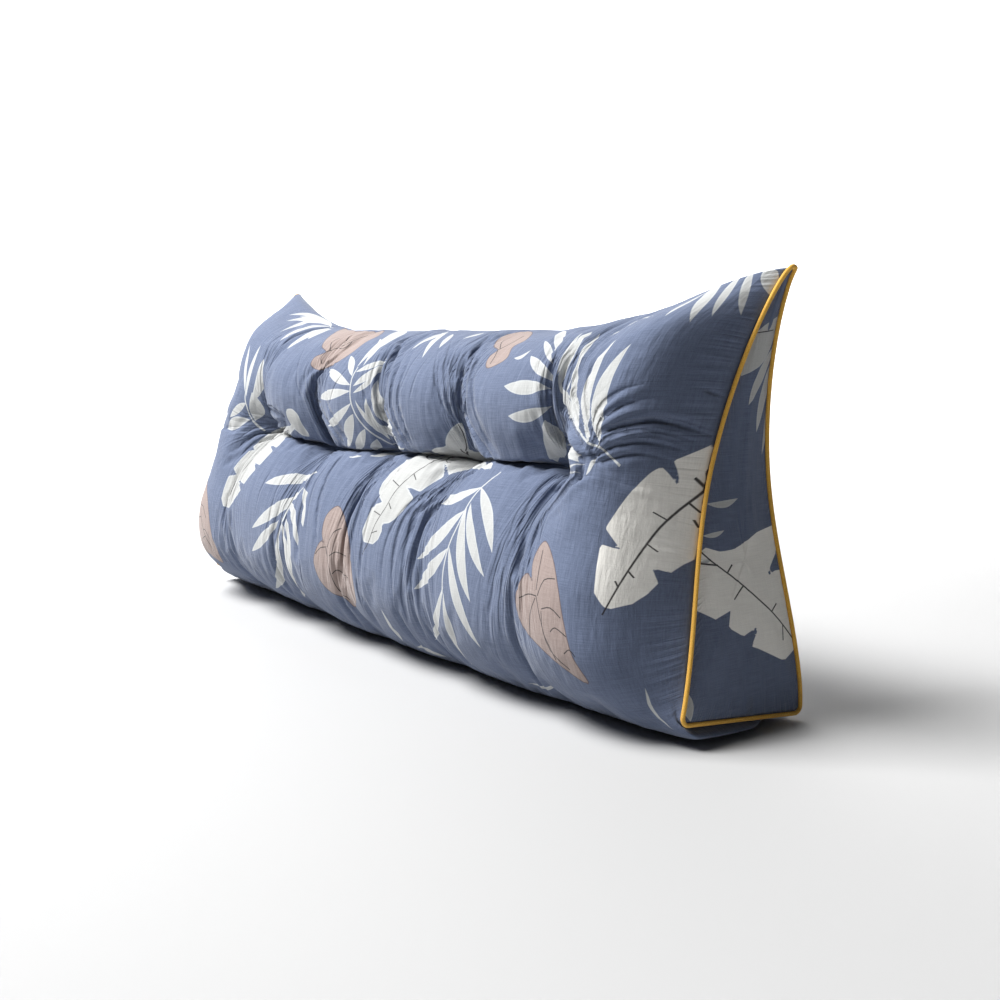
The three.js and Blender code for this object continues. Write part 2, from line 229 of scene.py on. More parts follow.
def body_surface(flat, v, w):
    """Smooth form of the body: flat is u, v the station and w the cloth coordinate round it"""
    t = end_share(flat)
    to_seam = t ** (SEAM_HOLD - RIDGE_HOLD * bell(around(v, RIDGE), RIDGE_REACH))
    ring = end_seam(v, flat)
    under = smooth((around(v, 0) + PUFF_BEHIND[0]) / PUFF_BEHIND[1])
    under *= smooth((PUFF_BEFORE[0] - around(v, 0)) / PUFF_BEFORE[1])
    puff = UNDERSIDE_PUFF * under * np.sin(np.pi * np.minimum(1, t / PUFF_END) ** PUFF_POWER)
    reach = WING_START + (end_x(ring[..., 1], flat) - WING_START) * t + puff
    x = np.where(t > 0, np.sign(flat) * reach, flat)
    *sections, row_z = shares(flat)
    yz = sum(share[..., None] * girth_curve(k, v) for k, share in enumerate(sections))
    y, z = yz[..., 0], yz[..., 1]
    z = z + (row_z - ROW_Z) * bell(v - FURROW, ROW_REACH)
    y = y + BASE_INSET * clamp01((INSET_FROM - flat) / INSET_OVER) * bell(around(v, INSET_AT), INSET_REACH)
    # the rolls meet in a tight furrow, the upper one hanging over the lower
    lobe, d = sections[1], w - W_FURROW
    y = y - lobe * LIP_FILL * bell(d, LIP_REACH)
    y = y + lobe * (LIP_FILL + SLIT_DEPTH) * np.exp(-np.abs(d) / SLIT_WIDTH)
    z = z - lobe * LIP_DROP * bell(d - LIP_AT, LIP_SPREAD) + lobe * LIP_RAISE * bell(d + LIP_AT, LIP_SPREAD)
    # the ridge rises into the ears, the left one with a fuller front
    height = clamp01((z - EAR_FROM_Z) / (RIDGE_Z - EAR_FROM_Z))
    s = clamp01((np.abs(x) - EAR_START) / (HALF_APEX - EAR_START))
    z = z + (EAR_Z - RIDGE_Z) * s**EAR_POWER_X * height**EAR_POWER_Z
    front = LEFT_EAR_FULL * (x < 0) * bell(around(v, LEFT_EAR_AT), LEFT_EAR_REACH)
    y = y - front * smooth((t - 0.5) / 0.35) * smooth((1 - t) / 0.1)
    y = y + (ring[..., 0] - y) * to_seam
    z = z + (ring[..., 1] - z) * to_seam
    return np.stack([x, y, np.maximum(0, z)], -1)


# Cloth coordinate w of every station, along the girth at the crown of a lobe
TABLE_V = np.linspace(UNDER_MID - COUNT, UNDER_MID, 2201)
TABLE_W = np.concatenate([[0], np.cumsum(np.hypot(*np.diff(girth_curve(1, TABLE_V), axis=0).T))])
TABLE_W -= np.interp(0, TABLE_V, TABLE_W)


def w_of(v):
    return np.interp(v, TABLE_V, TABLE_W)


def v_of(w):
    return np.interp(w, TABLE_W, TABLE_V)


W_FURROW = float(w_of(FURROW))
W_RIDGE = float(w_of(RIDGE))
W_HEEL = float(w_of(HEEL))
W_LOW, W_HIGH = float(TABLE_W[0]), float(TABLE_W[-1])

GIRTH_STEPS = [  # where each stretch of the girth starts, and how far apart its points are in mm
    (W_LOW, 8.0),
    (-18.0, 2.5),
    (W_FURROW - 12, 1.3),
    (W_FURROW + 12, 2.5),
    (W_RIDGE + 18, 8.0),
    (W_HEEL - 20, 4.0),
    (W_HEEL + 16, 8.0),
]
PLAIN_STEP, TUFT_STEP, TUFT_NEAR = 3.4, 1.75, 34.0
TURN_STEP, TURN_SHARE, TURN_OVER = 1.5, 0.84, 6.0


def girth_samples():
    ends = [start for start, _ in GIRTH_STEPS[1:]] + [W_HIGH]
    parts = [
        np.linspace(start, end, int(round((end - start) / step)) + 1)
        for (start, step), end in zip(GIRTH_STEPS, ends)
    ]
    return np.unique(np.concatenate(parts).round(4))


def length_samples():
    """Closer together at the tufts, where the folds are, and at the turn into the end seams"""
    dense = np.linspace(-HALF_BASE, HALF_BASE, 4001)
    need = np.full(dense.shape, 1 / PLAIN_STEP)
    for x, _ in TUFTS:
        need += (1 / TUFT_STEP - 1 / PLAIN_STEP) * bell(dense - x, TUFT_NEAR)
    turn = WING_START + TURN_SHARE * (HALF_BASE - WING_START)
    need += (1 / TURN_STEP - 1 / PLAIN_STEP) * smooth((np.abs(dense) - turn) / TURN_OVER)
    total = np.concatenate([[0], np.cumsum((need[1:] + need[:-1]) / 2 * np.diff(dense))])
    return np.interp(np.linspace(0, total[-1], int(total[-1]) + 1), total, dense)


# ---------------------------------------------------------------- camera, solved from the photo
VIEW_AZIMUTH, VIEW_PITCH = 52.405, 7.634
VIEW_FOCAL = 1232.0  # in pixels of the frame
VIEW_FROM = np.array([1017.13, -712.38, 306.67])  # mm, in the section frame
FRAME, SENSOR = 1000, 36.0  # width in pixels and in mm
HOME = (560, 500)  # a picture point well inside the cushion
PICK_STEPS = 80

GIRTH = girth_samples()
U, W = np.meshgrid(length_samples(), GIRTH, indexing="ij")
V = v_of(W)
base = body_surface(U, V, W)

_, cad_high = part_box("cushion_body")
Y_SHIFT = cad_high.y / MM - base[..., 1].max()  # from the section frame to the row frame


def metres(points):
    moved = np.array(points, float)
    moved[..., 1] += Y_SHIFT
    return moved * MM


cam = placed("camera", bpy.data.cameras.new("camera"))
bpy.context.scene.camera = cam
cam.data.sensor_width = SENSOR
cam.data.lens = VIEW_FOCAL / FRAME * SENSOR
cam.data.clip_start, cam.data.clip_end = 0.05, 50
cam.location = metres(VIEW_FROM)
cam.rotation_euler = (math.radians(90 - VIEW_PITCH), 0, math.radians(VIEW_AZIMUTH))


def view_ray(px, py):
    """Direction from the camera through a point of the 1000 by 1000 picture, section frame"""
    a, e = math.radians(VIEW_AZIMUTH), math.radians(-VIEW_PITCH)
    ahead = np.array([-math.sin(a) * math.cos(e), math.cos(a) * math.cos(e), math.sin(e)])
    right = np.array([math.cos(a), math.sin(a), 0.0])
    up = np.cross(right, ahead)
    ray = ahead * VIEW_FOCAL + right * (px - FRAME / 2) - up * (py - FRAME / 2)
    return ray / np.linalg.norm(ray)


class Picker:
    """Finds the cloth coordinates of what a point of the picture shows on a grid of cloth"""

    def __init__(self, points):
        quads = grid_faces(*points.shape[:2], False)
        self.corners = np.concatenate([quads[:, :3], quads[:, [0, 2, 3]]])
        self.points = points.reshape(-1, 3)
        self.coords = np.stack([U, W], -1).reshape(-1, 2)
        self.tree = BVHTree.FromPolygons(self.points.tolist(), self.corners.tolist())
        ray = Vector(view_ray(*HOME))
        self.facing = self.tree.ray_cast(Vector(VIEW_FROM), ray)[1] @ ray < 0

    def __call__(self, px, py):
        """Cloth coordinates at a picture point; a point that misses moves towards home"""
        origin = Vector(VIEW_FROM)
        for k in range(PICK_STEPS):
            step = k / PICK_STEPS
            ray = view_ray(px + (HOME[0] - px) * step, py + (HOME[1] - py) * step)
            hit = self.tree.ray_cast(origin, Vector(ray))
            if hit[0] is not None and (hit[1] @ Vector(ray) < 0) == self.facing:
                break
        near = self.corners[hit[2]]
        away = self.points[near] - np.array(hit[0])
        share = [np.linalg.norm(np.cross(away[(k + 1) % 3], away[(k + 2) % 3])) for k in range(3)]
        return tuple(np.array(share) @ self.coords[near] / sum(share))


# ---------------------------------------------------------------- folds
NOISE_ROW, NOISE_FIELD = 512, 64  # values after which the noise repeats
FOLD_POWER, FOLD_LEAST = 0.7, 0.25  # how sharp the valleys are, and the height of the lowest fold


def noise_row(q, seed):
    values = np.random.RandomState(seed).rand(NOISE_ROW)
    k = np.floor(q).astype(int)
    f = smooth(q - k)
    return values[k % NOISE_ROW] * (1 - f) + values[(k + 1) % NOISE_ROW] * f


def noise_field(a, b, seed):
    values = np.random.RandomState(seed).rand(NOISE_FIELD, NOISE_FIELD)
    ka, kb = np.floor(a).astype(int), np.floor(b).astype(int)
    fa, fb = smooth(a - ka), smooth(b - kb)

    def row(k):
        low, high = (values[(ka + step) % NOISE_FIELD, k % NOISE_FIELD] for step in (0, 1))
        return low * (1 - fa) + high * fa

    return row(kb) * (1 - fb) + row(kb + 1) * fb


def pleats(q, seed):
    """Round folds of uneven height and width with sharp valleys between, one for each unit of q"""
    q = q + 0.8 * noise_row(q * 0.45 + 7, seed + 1)
    tall = FOLD_LEAST + (1 - FOLD_LEAST) * np.random.RandomState(seed).rand(NOISE_ROW)
    return tall[np.floor(q).astype(int) % NOISE_ROW] * np.abs(np.sin(np.pi * q)) ** FOLD_POWER


def path_distance(points):
    """Signed distance from a line through cloth points, and the share of its length passed"""
    points = np.array(points, float)
    lengths = np.hypot(*np.diff(points, axis=0).T)
    done = np.concatenate([[0], np.cumsum(lengths)])
    best = np.full(U.shape, 1e9)
    signed, share = np.zeros(U.shape), np.zeros(U.shape)
    for k, length in enumerate(lengths):
        ex, ew = (points[k + 1] - points[k]) / length
        dx, dw = U - points[k][0], W - points[k][1]
        s = np.clip(dx * ex + dw * ew, 0, length)
        off = np.hypot(dx - s * ex, dw - s * ew)
        closer = off < best
        best = np.where(closer, off, best)
        signed = np.where(closer, off * np.sign(dx * ew - dw * ex), signed)
        share = np.where(closer, (done[k] + s) / done[-1], share)
    return signed, share


CREASE_START, CREASE_FADE = 0.04, 0.35  # shares of its length over which a crease deepens and fades
SHOULDER_RISE, SHOULDER_AT, SHOULDER_SPREAD = 0.3, 2.4, 1.8  # of its depth, then of its width


def crease(points, depth, width):
    signed, share = path_distance(points)
    strength = smooth(share / CREASE_START) * smooth((1 - share) / CREASE_FADE)
    valley = np.exp(-np.abs(signed) / width)
    shoulder = bell(np.abs(signed) - SHOULDER_AT * width, SHOULDER_SPREAD * width)
    return strength * depth * (SHOULDER_RISE * shoulder - valley)


# Creases as lines of picture points, from a tuft outwards, then depth and width in mm
CREASES = [
    ([(342, 449), (326, 426), (317, 408), (313, 396), (316, 381), (326, 367), (340, 355), (352, 345)], 10, 2.6),
    ([(346, 447), (333, 428), (321, 408), (318, 392), (321, 378), (331, 366)], 5, 1.8),
    ([(349, 444), (338, 425), (327, 404), (325, 388), (330, 372), (343, 357)], 3, 1.6),
    ([(406, 449), (395, 430), (386, 410), (385, 398), (389, 375), (398, 355), (409, 338)], 10, 2.8),
    ([(410, 446), (400, 428), (392, 408), (392, 392), (397, 372), (406, 354)], 5, 1.8),
    ([(403, 447), (388, 425), (378, 402), (377, 384), (383, 364), (395, 345)], 4, 1.8),
    ([(413, 444), (405, 425), (399, 405), (400, 386), (407, 366), (420, 345)], 3, 1.6),
    ([(491, 458), (474, 432), (467, 416), (466, 398), (467, 379), (473, 359), (483, 343)], 8, 2.4),
    ([(484, 450), (468, 424), (461, 404), (460, 384), (464, 362), (473, 345)], 4, 2.0),
    ([(478, 444), (461, 420), (454, 400), (453, 380), (457, 360), (467, 342)], 3, 1.8),
    ([(470, 440), (454, 416), (447, 396), (446, 376), (450, 358), (460, 340)], 2.2, 1.8),
    ([(462, 434), (446, 410), (439, 388), (438, 368), (443, 350)], 1.5, 1.8),
    ([(493, 452), (478, 420), (473, 396), (475, 372), (486, 350), (500, 336)], 2.5, 1.8),
    ([(583, 460), (563, 440), (552, 417), (549, 396), (551, 371), (559, 355), (573, 341)], 9, 2.4),
    ([(589, 452), (572, 428), (563, 406), (562, 384), (568, 362), (582, 345)], 4, 1.8),
    ([(594, 446), (581, 420), (574, 396), (576, 374), (588, 352)], 3, 1.8),
    ([(577, 455), (556, 434), (546, 412), (543, 392), (545, 370), (553, 352)], 2.5, 1.8),
    ([(598, 442), (589, 416), (586, 392), (592, 368), (606, 348)], 2.5, 1.6),
    ([(285, 417), (266, 402), (256, 392)], 3.5, 2.0),
    ([(285, 421), (265, 416), (247, 412)], 3, 2.0),
    ([(285, 424), (255, 434), (237, 450)], 4, 2.2),
    ([(283, 427), (255, 443), (233, 464)], 3, 2.2),
    ([(344, 450), (328, 458), (313, 476), (305, 495), (298, 530), (299, 570)], 6, 3.0),
    ([(345, 454), (333, 468), (322, 492), (317, 520), (317, 556)], 3, 2.0),
    ([(408, 452), (388, 470), (368, 494), (358, 517), (350, 550), (352, 590)], 6, 2.8),
    ([(404, 456), (380, 474), (361, 496), (349, 522), (343, 556), (345, 596)], 3, 2.0),
    ([(396, 456), (372, 474), (352, 498), (339, 528), (334, 566)], 2.2, 1.8),
    ([(410, 458), (394, 476), (377, 500), (367, 526), (361, 560), (363, 606)], 2.5, 1.8),
    ([(488, 462), (466, 478), (450, 496), (431, 514), (421, 531), (413, 555), (411, 600)], 4, 2.6),
    ([(476, 471), (460, 482), (448, 500), (434, 516), (430, 531), (426, 560)], 3, 2.0),
    ([(450, 484), (432, 500), (416, 512), (409, 536), (403, 561), (401, 590)], 2.8, 2.0),
    ([(440, 488), (420, 500), (404, 520), (395, 548), (392, 582), (396, 620)], 2, 1.8),
    ([(430, 492), (410, 504), (394, 524), (384, 552), (381, 590)], 1.5, 1.8),
    ([(583, 466), (566, 490), (548, 512), (538, 531), (531, 555), (528, 590)], 5, 3.0),
    ([(574, 470), (554, 490), (536, 512), (524, 538), (519, 570), (521, 610)], 2.8, 2.2),
    ([(560, 474), (541, 489), (526, 512), (519, 541)], 2, 2.0),
    ([(590, 456), (601, 432), (622, 425), (654, 420), (678, 424), (702, 432), (714, 436)], 6, 2.4),
    ([(592, 460), (601, 451), (614, 445), (638, 441), (662, 444), (686, 451)], 5, 2.4),
    ([(593, 458), (603, 441), (618, 434), (640, 430), (668, 433), (694, 441)], 4, 2.0),
    ([(590, 452), (603, 418), (622, 405), (654, 398)], 3.5, 2.2),
    ([(589, 450), (598, 410), (618, 392), (644, 384)], 2.5, 2.2),
    ([(594, 464), (612, 457), (640, 453), (672, 460)], 3, 2.4),
    ([(708, 390), (716, 394), (726, 397)], 2, 1.8),
]
SIDE_CREASES = [  # the same in cloth coordinates, at the left tuft, whose flank is nearly out of sight
    ([(-253, 246), (-250, 290), (-242, 340), (-232, 390), (-224, 420)], 6, 3.0),
    ([(-256, 248), (-264, 290), (-272, 330), (-276, 370)], 3, 2.6),
    ([(-249, 250), (-240, 295), (-228, 345), (-218, 385)], 3, 2.4),
]
FINE_FOLDS = [  # crisp lines beside the deep creases, and how deep each is in mm
    ([(465, 405), (462, 382), (465, 367), (472, 356), (482, 345), (495, 337)], 1.4),
    ([(458, 382), (459, 367), (465, 355), (475, 345)], 1.2),
    ([(456, 397), (451, 382), (452, 367), (456, 352), (462, 344)], 1.2),
    ([(449, 395), (445, 380), (445, 365), (449, 350), (452, 340)], 1.0),
    ([(437, 390), (435, 375), (436, 360), (440, 347)], 0.8),
    ([(469, 382), (475, 367), (482, 355), (492, 345)], 1.2),
    ([(472, 395), (473, 382), (477, 372), (486, 361), (497, 350)], 1.0),
    ([(552, 400), (553, 375), (560, 357), (575, 340), (592, 331)], 1.4),
    ([(556, 375), (562, 360), (575, 347)], 1.2),
    ([(562, 392), (570, 368), (584, 350), (600, 338)], 1.0),
    ([(541, 400), (537, 380), (540, 360), (548, 346)], 0.7),
    ([(329, 408), (334, 388), (346, 370), (360, 357)], 1.0),
    ([(311, 404), (305, 388), (306, 370), (314, 354)], 1.0),
    ([(303, 400), (297, 382), (299, 362), (306, 346)], 0.8),
    ([(397, 412), (402, 386), (412, 364), (428, 345)], 1.0),
    ([(374, 404), (370, 384), (376, 362), (386, 344)], 1.0),
    ([(366, 398), (362, 380), (368, 360)], 0.8),
    ([(345, 372), (355, 356), (370, 342)], 0.8),
    ([(410, 398), (416, 376), (428, 358)], 0.8),
    ([(268, 418), (254, 420), (242, 428)], 0.9),
    ([(272, 424), (252, 430), (238, 440)], 0.9),
    ([(276, 412), (262, 400), (254, 384)], 0.9),
    ([(606, 438), (626, 429), (650, 426), (676, 430)], 0.8),
    ([(608, 446), (630, 437), (656, 436), (680, 442)], 0.8),
    ([(606, 428), (626, 416), (648, 411)], 0.7),
    ([(640, 420), (668, 418), (696, 424), (712, 430)], 0.6),
    ([(560, 486), (546, 502), (534, 520), (527, 545)], 1.2),
    ([(572, 482), (556, 502), (545, 522), (538, 548)], 1.2),
    ([(548, 488), (531, 506), (519, 530), (514, 560)], 1.0),
    ([(534, 492), (517, 514), (508, 541)], 0.8),
    ([(526, 560), (522, 590), (524, 620)], 0.9),
    ([(514, 566), (511, 596), (516, 626), (526, 650)], 0.9),
    ([(505, 560), (502, 590), (507, 620)], 0.7),
    ([(470, 470), (449, 486), (432, 500), (417, 520), (410, 545)], 1.2),
    ([(455, 478), (436, 492), (421, 507), (410, 530), (405, 556)], 1.2),
    ([(442, 482), (424, 496), (409, 514), (400, 540)], 1.0),
    ([(424, 492), (406, 508), (394, 530), (388, 556)], 0.8),
    ([(404, 566), (402, 596), (408, 622)], 0.8),
    ([(412, 560), (412, 590), (418, 618)], 0.8),
    ([(394, 466), (374, 484), (360, 506), (352, 532)], 1.2),
    ([(384, 468), (364, 486), (351, 508), (344, 536), (342, 560)], 1.2),
    ([(374, 470), (356, 486), (343, 508), (336, 534)], 0.9),
    ([(346, 566), (347, 592), (352, 612)], 0.9),
    ([(356, 560), (358, 590), (366, 614)], 0.8),
    ([(330, 462), (316, 482), (309, 506), (306, 534)], 1.0),
    ([(322, 462), (309, 480), (301, 502), (297, 530)], 1.0),
    ([(300, 560), (303, 582), (310, 596)], 0.8),
    ([(289, 470), (277, 490), (270, 516), (268, 546)], 0.8),
    ([(272, 470), (260, 492), (254, 520)], 0.7),
]

FAN_START, FAN_POWER, FAN_SPREAD = 7.0, 0.9, 0.85
FAN_CLEAR, FAN_RISE, FAN_FADE = 4.0, 26.0, 0.45


def fan(tuft, up, lean, grow, count, tall, reach, side, seed):
    """Pleats that spread from a tuft, up or down the front"""
    h = (W - W_FURROW) * (1 if up else -1)
    wide = FAN_START + grow * np.maximum(h, 0) ** FAN_POWER
    q = (U - TUFTS[tuft, 0] - lean * np.maximum(h, 0)) / wide
    share = bell(q - side, FAN_SPREAD) * smooth((h - FAN_CLEAR) / FAN_RISE)
    share *= smooth((reach - h) / (FAN_FADE * reach))
    return tall * share * (pleats(q * count / 2 + 50, seed) - 0.5)


FANS = [  # tuft, upwards, lean, growth, folds, height, reach, side
    (0, True, 0.06, 0.30, 4, 0.8, 190, 0.3),
    (1, True, -0.02, 0.30, 5, 2.6, 200, 0.0),
    (2, True, 0.02, 0.32, 6, 2.8, 205, 0.0),
    (3, True, -0.03, 0.36, 6, 3.0, 205, -0.4),
    (4, True, 0.04, 0.36, 6, 3.0, 205, 0.4),
    (0, False, -0.02, 0.32, 5, 2.4, 190, 0.0),
    (1, False, 0.00, 0.34, 6, 2.8, 235, 0.0),
    (2, False, 0.00, 0.34, 6, 2.6, 235, 0.0),
    (3, False, 0.00, 0.36, 6, 2.6, 235, 0.0),
    (4, False, 0.02, 0.34, 6, 2.4, 200, 0.0),
]

TUFT_DEPTH, TUFT_REACH, TUFT_OVAL = 7.0, 6.5, 1.15
SPOKES, SPOKE_START, SPOKE_REACH = 15, 9.0, 26.0
SPOKE_HEIGHTS = 0.5, 1.9, 1.9, 1.9, 1.9  # from the left tuft to the right one
GATHER_WIDTH, GATHER_HEIGHT, GATHER_REACH = 11.0, 1.1, 70.0
GATHER_LEAST, GATHER_ON_WING = 0.35, 0.25
LUMPS = [  # soft lumps of the filling: height, size along and round the cushion, shifts, seed
    (2.2, 48, 60, 9, 5, 5),
    (1.0, 21, 30, 3, 2, 6),
]
BACK_LUMP = (2.5, 80, 90, 2, 8, 7)
PUCKER_WIDTH, PUCKER_HEIGHT, PUCKER_AT, PUCKER_SPREAD = 9.0, 0.8, 0.93, 0.06
FINE_START, FINE_GROW, FINE_COUNT, FINE_HEIGHT = 6.0, 0.34, 6.5, 1.3
FINE_UP, FINE_DOWN = 195, 235  # how far the fine pleats reach from the tufts
RIPPLE_COUNT, RIPPLE_HEIGHT, RIPPLE_REACH = 7.5, 0.9, 150.0
STITCH_WIDTH, STITCH_HEIGHT = 6.5, 0.45


def fine_pleats():
    """For the bump of the cloth, pleat number and height by turns: the pleats up and down from
    the tufts, the ripples over the wings, the puckers along the end seams"""
    x = TUFTS[:, 0]
    nearest = np.abs(U[..., None] - x).argmin(-1)
    h = W - W_FURROW
    out = U - x[nearest]
    q = out / (FINE_START + FINE_GROW * np.abs(h) ** FAN_POWER)
    number = FINE_COUNT * q + 37 * nearest + np.where(h > 0, 0, 400)
    far = np.where(h > 0, FINE_UP, FINE_DOWN)
    tall = FINE_HEIGHT * bell(q, 1.0) * smooth((np.abs(h) - 3) / 10) * smooth((far - np.abs(h)) / (0.6 * far))
    outward = np.where(nearest == 0, -out, np.where(nearest == len(x) - 1, out, -1.0))
    r = np.hypot(out, h)
    angle = np.arctan2(h, outward)
    ripple = RIPPLE_HEIGHT * smooth(outward / 12) * bell(angle - 0.1, 0.75)
    ripple *= smooth((r - 4) / 12) * smooth((RIPPLE_REACH - r) / 110)
    t = end_share(U)
    stitch = STITCH_HEIGHT * smooth((t - 0.86) / 0.1) * smooth((1 - t) / 0.03)
    stitch *= smooth((W_HEEL + 20 - W) / 30)
    return number, tall, RIPPLE_COUNT * angle + 800, ripple, W / STITCH_WIDTH + 900, stitch


def lump(height, along, girth, shift_u, shift_w, seed):
    return height * (noise_field(U / along + shift_u, W / girth + shift_w, seed) - 0.5)


def folds():
    """Height of every fold over the smooth form, in mm, along its normal"""
    rise = np.zeros(U.shape)
    pick = Picker(base)
    for points, depth, width in CREASES:
        rise += crease([pick(*p) for p in points], depth, width)
    for row in SIDE_CREASES:
        rise += crease(*row)
    for k, row in enumerate(FANS):
        rise += fan(*row, 20 + 2 * k)
    for k, (x, _) in enumerate(TUFTS):
        r = np.hypot(U - x, TUFT_OVAL * (W - W_FURROW))
        angle = np.arctan2(W - W_FURROW, U - x)
        spokes = pleats(angle * SPOKES / (2 * np.pi) + 40, 60 + 2 * k)
        rise += SPOKE_HEIGHTS[k] * (1 - np.exp(-r / SPOKE_START)) * np.exp(-r / SPOKE_REACH) * (spokes - 0.5)
        rise -= TUFT_DEPTH * np.exp(-r / TUFT_REACH)
    # faint gathers that run up and down the lobes, and soft lumps of the filling
    _, lobe, wing, _ = shares(U)
    front = smooth((W - 8) / 50) * smooth((W_RIDGE + 10 - W) / 60)
    strands = pleats(U / GATHER_WIDTH + 0.8 * noise_field(U / 60, W / 90, 3) + 100, 81)
    nearer = GATHER_LEAST + (1 - GATHER_LEAST) * bell(W - W_FURROW, GATHER_REACH)
    on_lobe = GATHER_LEAST + (1 - GATHER_LEAST) * lobe
    gather = GATHER_HEIGHT * front * on_lobe * (1 - (1 - GATHER_ON_WING) * wing) * nearer
    rise += gather * (strands - 0.5)
    for row in LUMPS:
        rise += lump(*row) * front
    rise += lump(*BACK_LUMP) * smooth((W - W_RIDGE) / 40) * smooth((W_HEEL - W) / 60)
    # puckers of the seam at each end
    t = end_share(U)
    pucker = pleats(W / PUCKER_WIDTH + 200 + 0.02 * np.abs(U), 91)
    rise += PUCKER_HEIGHT * bell(t - PUCKER_AT, PUCKER_SPREAD) * (pucker - 0.5) * smooth((W + 10) / 30)
    settle = smooth((1 - t) / 0.06) * smooth(base[..., 2] / 12)
    return rise * settle


def normals(points):
    du = np.gradient(points, axis=0)
    dw = np.gradient(points, axis=1)
    n = np.cross(du, dw)
    n /= np.maximum(np.linalg.norm(n, axis=-1, keepdims=True), 1e-9)
    outward = (n * (points - points.mean((0, 1)))).sum()
    return n if outward > 0 else -n


SIM_FRAMES, SIM_PRESSURE, SIM_SPARE = 20, 4.0, 0.04  # the cloth is cut a little too large
SIM_CAP, SIM_WRINKLE = 4.0, 36  # mm a point may move, rounds of smoothing that tell swelling from wrinkles
SIM_STIFFNESS, SIM_SHEAR, SIM_BENDING, SIM_MASS, SIM_QUALITY = 15.0, 5.0, 0.3, 0.3, 5
HOLD_EDGE, HOLD_SEAM, HOLD_FURROW, HOLD_TUFT = 4.0, 2.0, 3.0, 9.0  # how near a held point is, in mm


def eased(field, rounds):
    for _ in range(rounds):
        across = np.concatenate([field[:1], field, field[-1:]])
        along = np.roll(field, 1, 1) + np.roll(field, -1, 1)
        field = 0.5 * field + 0.125 * (across[:-2] + across[2:] + along)
    return field


def filled_in(values, places, count):
    """Values known at some places of the first axis, in between them as well"""
    columns = values.reshape(len(values), -1).T
    full = np.stack([np.interp(np.arange(count), places, c) for c in columns], -1)
    return full.reshape(count, *values.shape[1:])


def wrinkles(points):
    """Fills the cover from inside as cloth held at its tufts, seams, furrow and base, and
    returns how far its wrinkles move every point, in mm"""
    rows = np.unique([*range(0, U.shape[0], 2), U.shape[0] - 1])
    cols = np.arange(0, U.shape[1] - 1, 2)
    start = points[np.ix_(rows, cols)] * MM
    u, w = U[np.ix_(rows, cols)], W[np.ix_(rows, cols)]
    mesh = bpy.data.meshes.new("filling_run")
    mesh.from_pydata(start.reshape(-1, 3).tolist(), [], grid_faces(*u.shape, True).tolist())
    run = placed("filling_run", mesh)
    held = (w < HOLD_EDGE) | (w > W_HEEL - HOLD_EDGE) | (np.abs(u) > HALF_BASE - HOLD_SEAM)
    held |= (u > TUFTS[0, 0]) & (u < TUFTS[-1, 0]) & (np.abs(w - W_FURROW) < HOLD_FURROW)
    for x, _ in TUFTS:
        held |= np.hypot(u - x, w - W_FURROW) < HOLD_TUFT
    pins = np.flatnonzero(held).tolist()
    run.vertex_groups.new(name="held").add(pins, 1.0, "REPLACE")
    cloth = run.modifiers.new("cloth", "CLOTH")
    cloth.point_cache.frame_start, cloth.point_cache.frame_end = 1, SIM_FRAMES
    cloth.collision_settings.use_collision = False
    fabric = cloth.settings
    fabric.quality, fabric.mass = SIM_QUALITY, SIM_MASS
    fabric.tension_stiffness = fabric.compression_stiffness = SIM_STIFFNESS
    fabric.shear_stiffness, fabric.bending_stiffness = SIM_SHEAR, SIM_BENDING
    fabric.use_pressure, fabric.uniform_pressure_force = True, SIM_PRESSURE
    fabric.shrink_min = -SIM_SPARE
    fabric.vertex_group_mass = "held"
    fabric.effector_weights.gravity = 0
    for number in range(1, SIM_FRAMES + 1):
        bpy.context.scene.frame_set(number)
    settled = run.evaluated_get(bpy.context.evaluated_depsgraph_get())
    ended = np.empty(start.size)
    settled.data.vertices.foreach_get("co", ended)
    bpy.data.objects.remove(run)
    bpy.data.meshes.remove(mesh)
    bpy.context.scene.frame_set(1)
    moved = (ended.reshape(start.shape) - start) / MM
    moved -= eased(moved, SIM_WRINKLE)
    moved *= np.minimum(1, SIM_CAP / np.maximum(np.linalg.norm(moved, axis=-1, keepdims=True), 1e-6))
    wide = filled_in(moved, rows, U.shape[0])
    wide = np.concatenate([wide, wide[:, :1]], 1).swapaxes(0, 1)
    full = filled_in(wide, [*cols, U.shape[1] - 1], U.shape[1]).swapaxes(0, 1)
    return eased(full, 1)


LOOSE_FROM_SEAM, LOOSE_FROM_BASE = 75.0, 10.0
EAR_TIGHT_FROM, EAR_TIGHT_OVER, EAR_TIGHT_REACH = 190.0, 70.0, 38.0

cover = base + normals(base) * folds()[..., None]
cover[..., 2] = np.maximum(cover[..., 2], 0)
# the wrinkles stay away from the end seams, the base and the ridge of the ears
loose = smooth((HALF_BASE - np.abs(U)) / LOOSE_FROM_SEAM) * smooth(base[..., 2] / LOOSE_FROM_BASE)
loose *= 1 - smooth((np.abs(U) - EAR_TIGHT_FROM) / EAR_TIGHT_OVER) * bell(W - W_RIDGE, EAR_TIGHT_REACH)
cover += wrinkles(cover) * loose[..., None]
cover[..., 2] = np.maximum(cover[..., 2], 0)
cover[:, -1] = cover[:, 0]

SECTION_CENTRE = np.array([c[1:3] for c in CORNERS]).mean(0)


def panel_surface(side, v, ring, lift):
    edge = end_seam(v, side)
    rim = edge[..., :2] - edge[..., 2:] * PANEL_INSET
    yz = SECTION_CENTRE + (rim - SECTION_CENTRE) * ring[..., None]
    x = side * (end_x(yz[..., 1], side) + PANEL_DOME * (1 - ring**2) + lift)
    return np.concatenate([x[..., None], yz], -1)


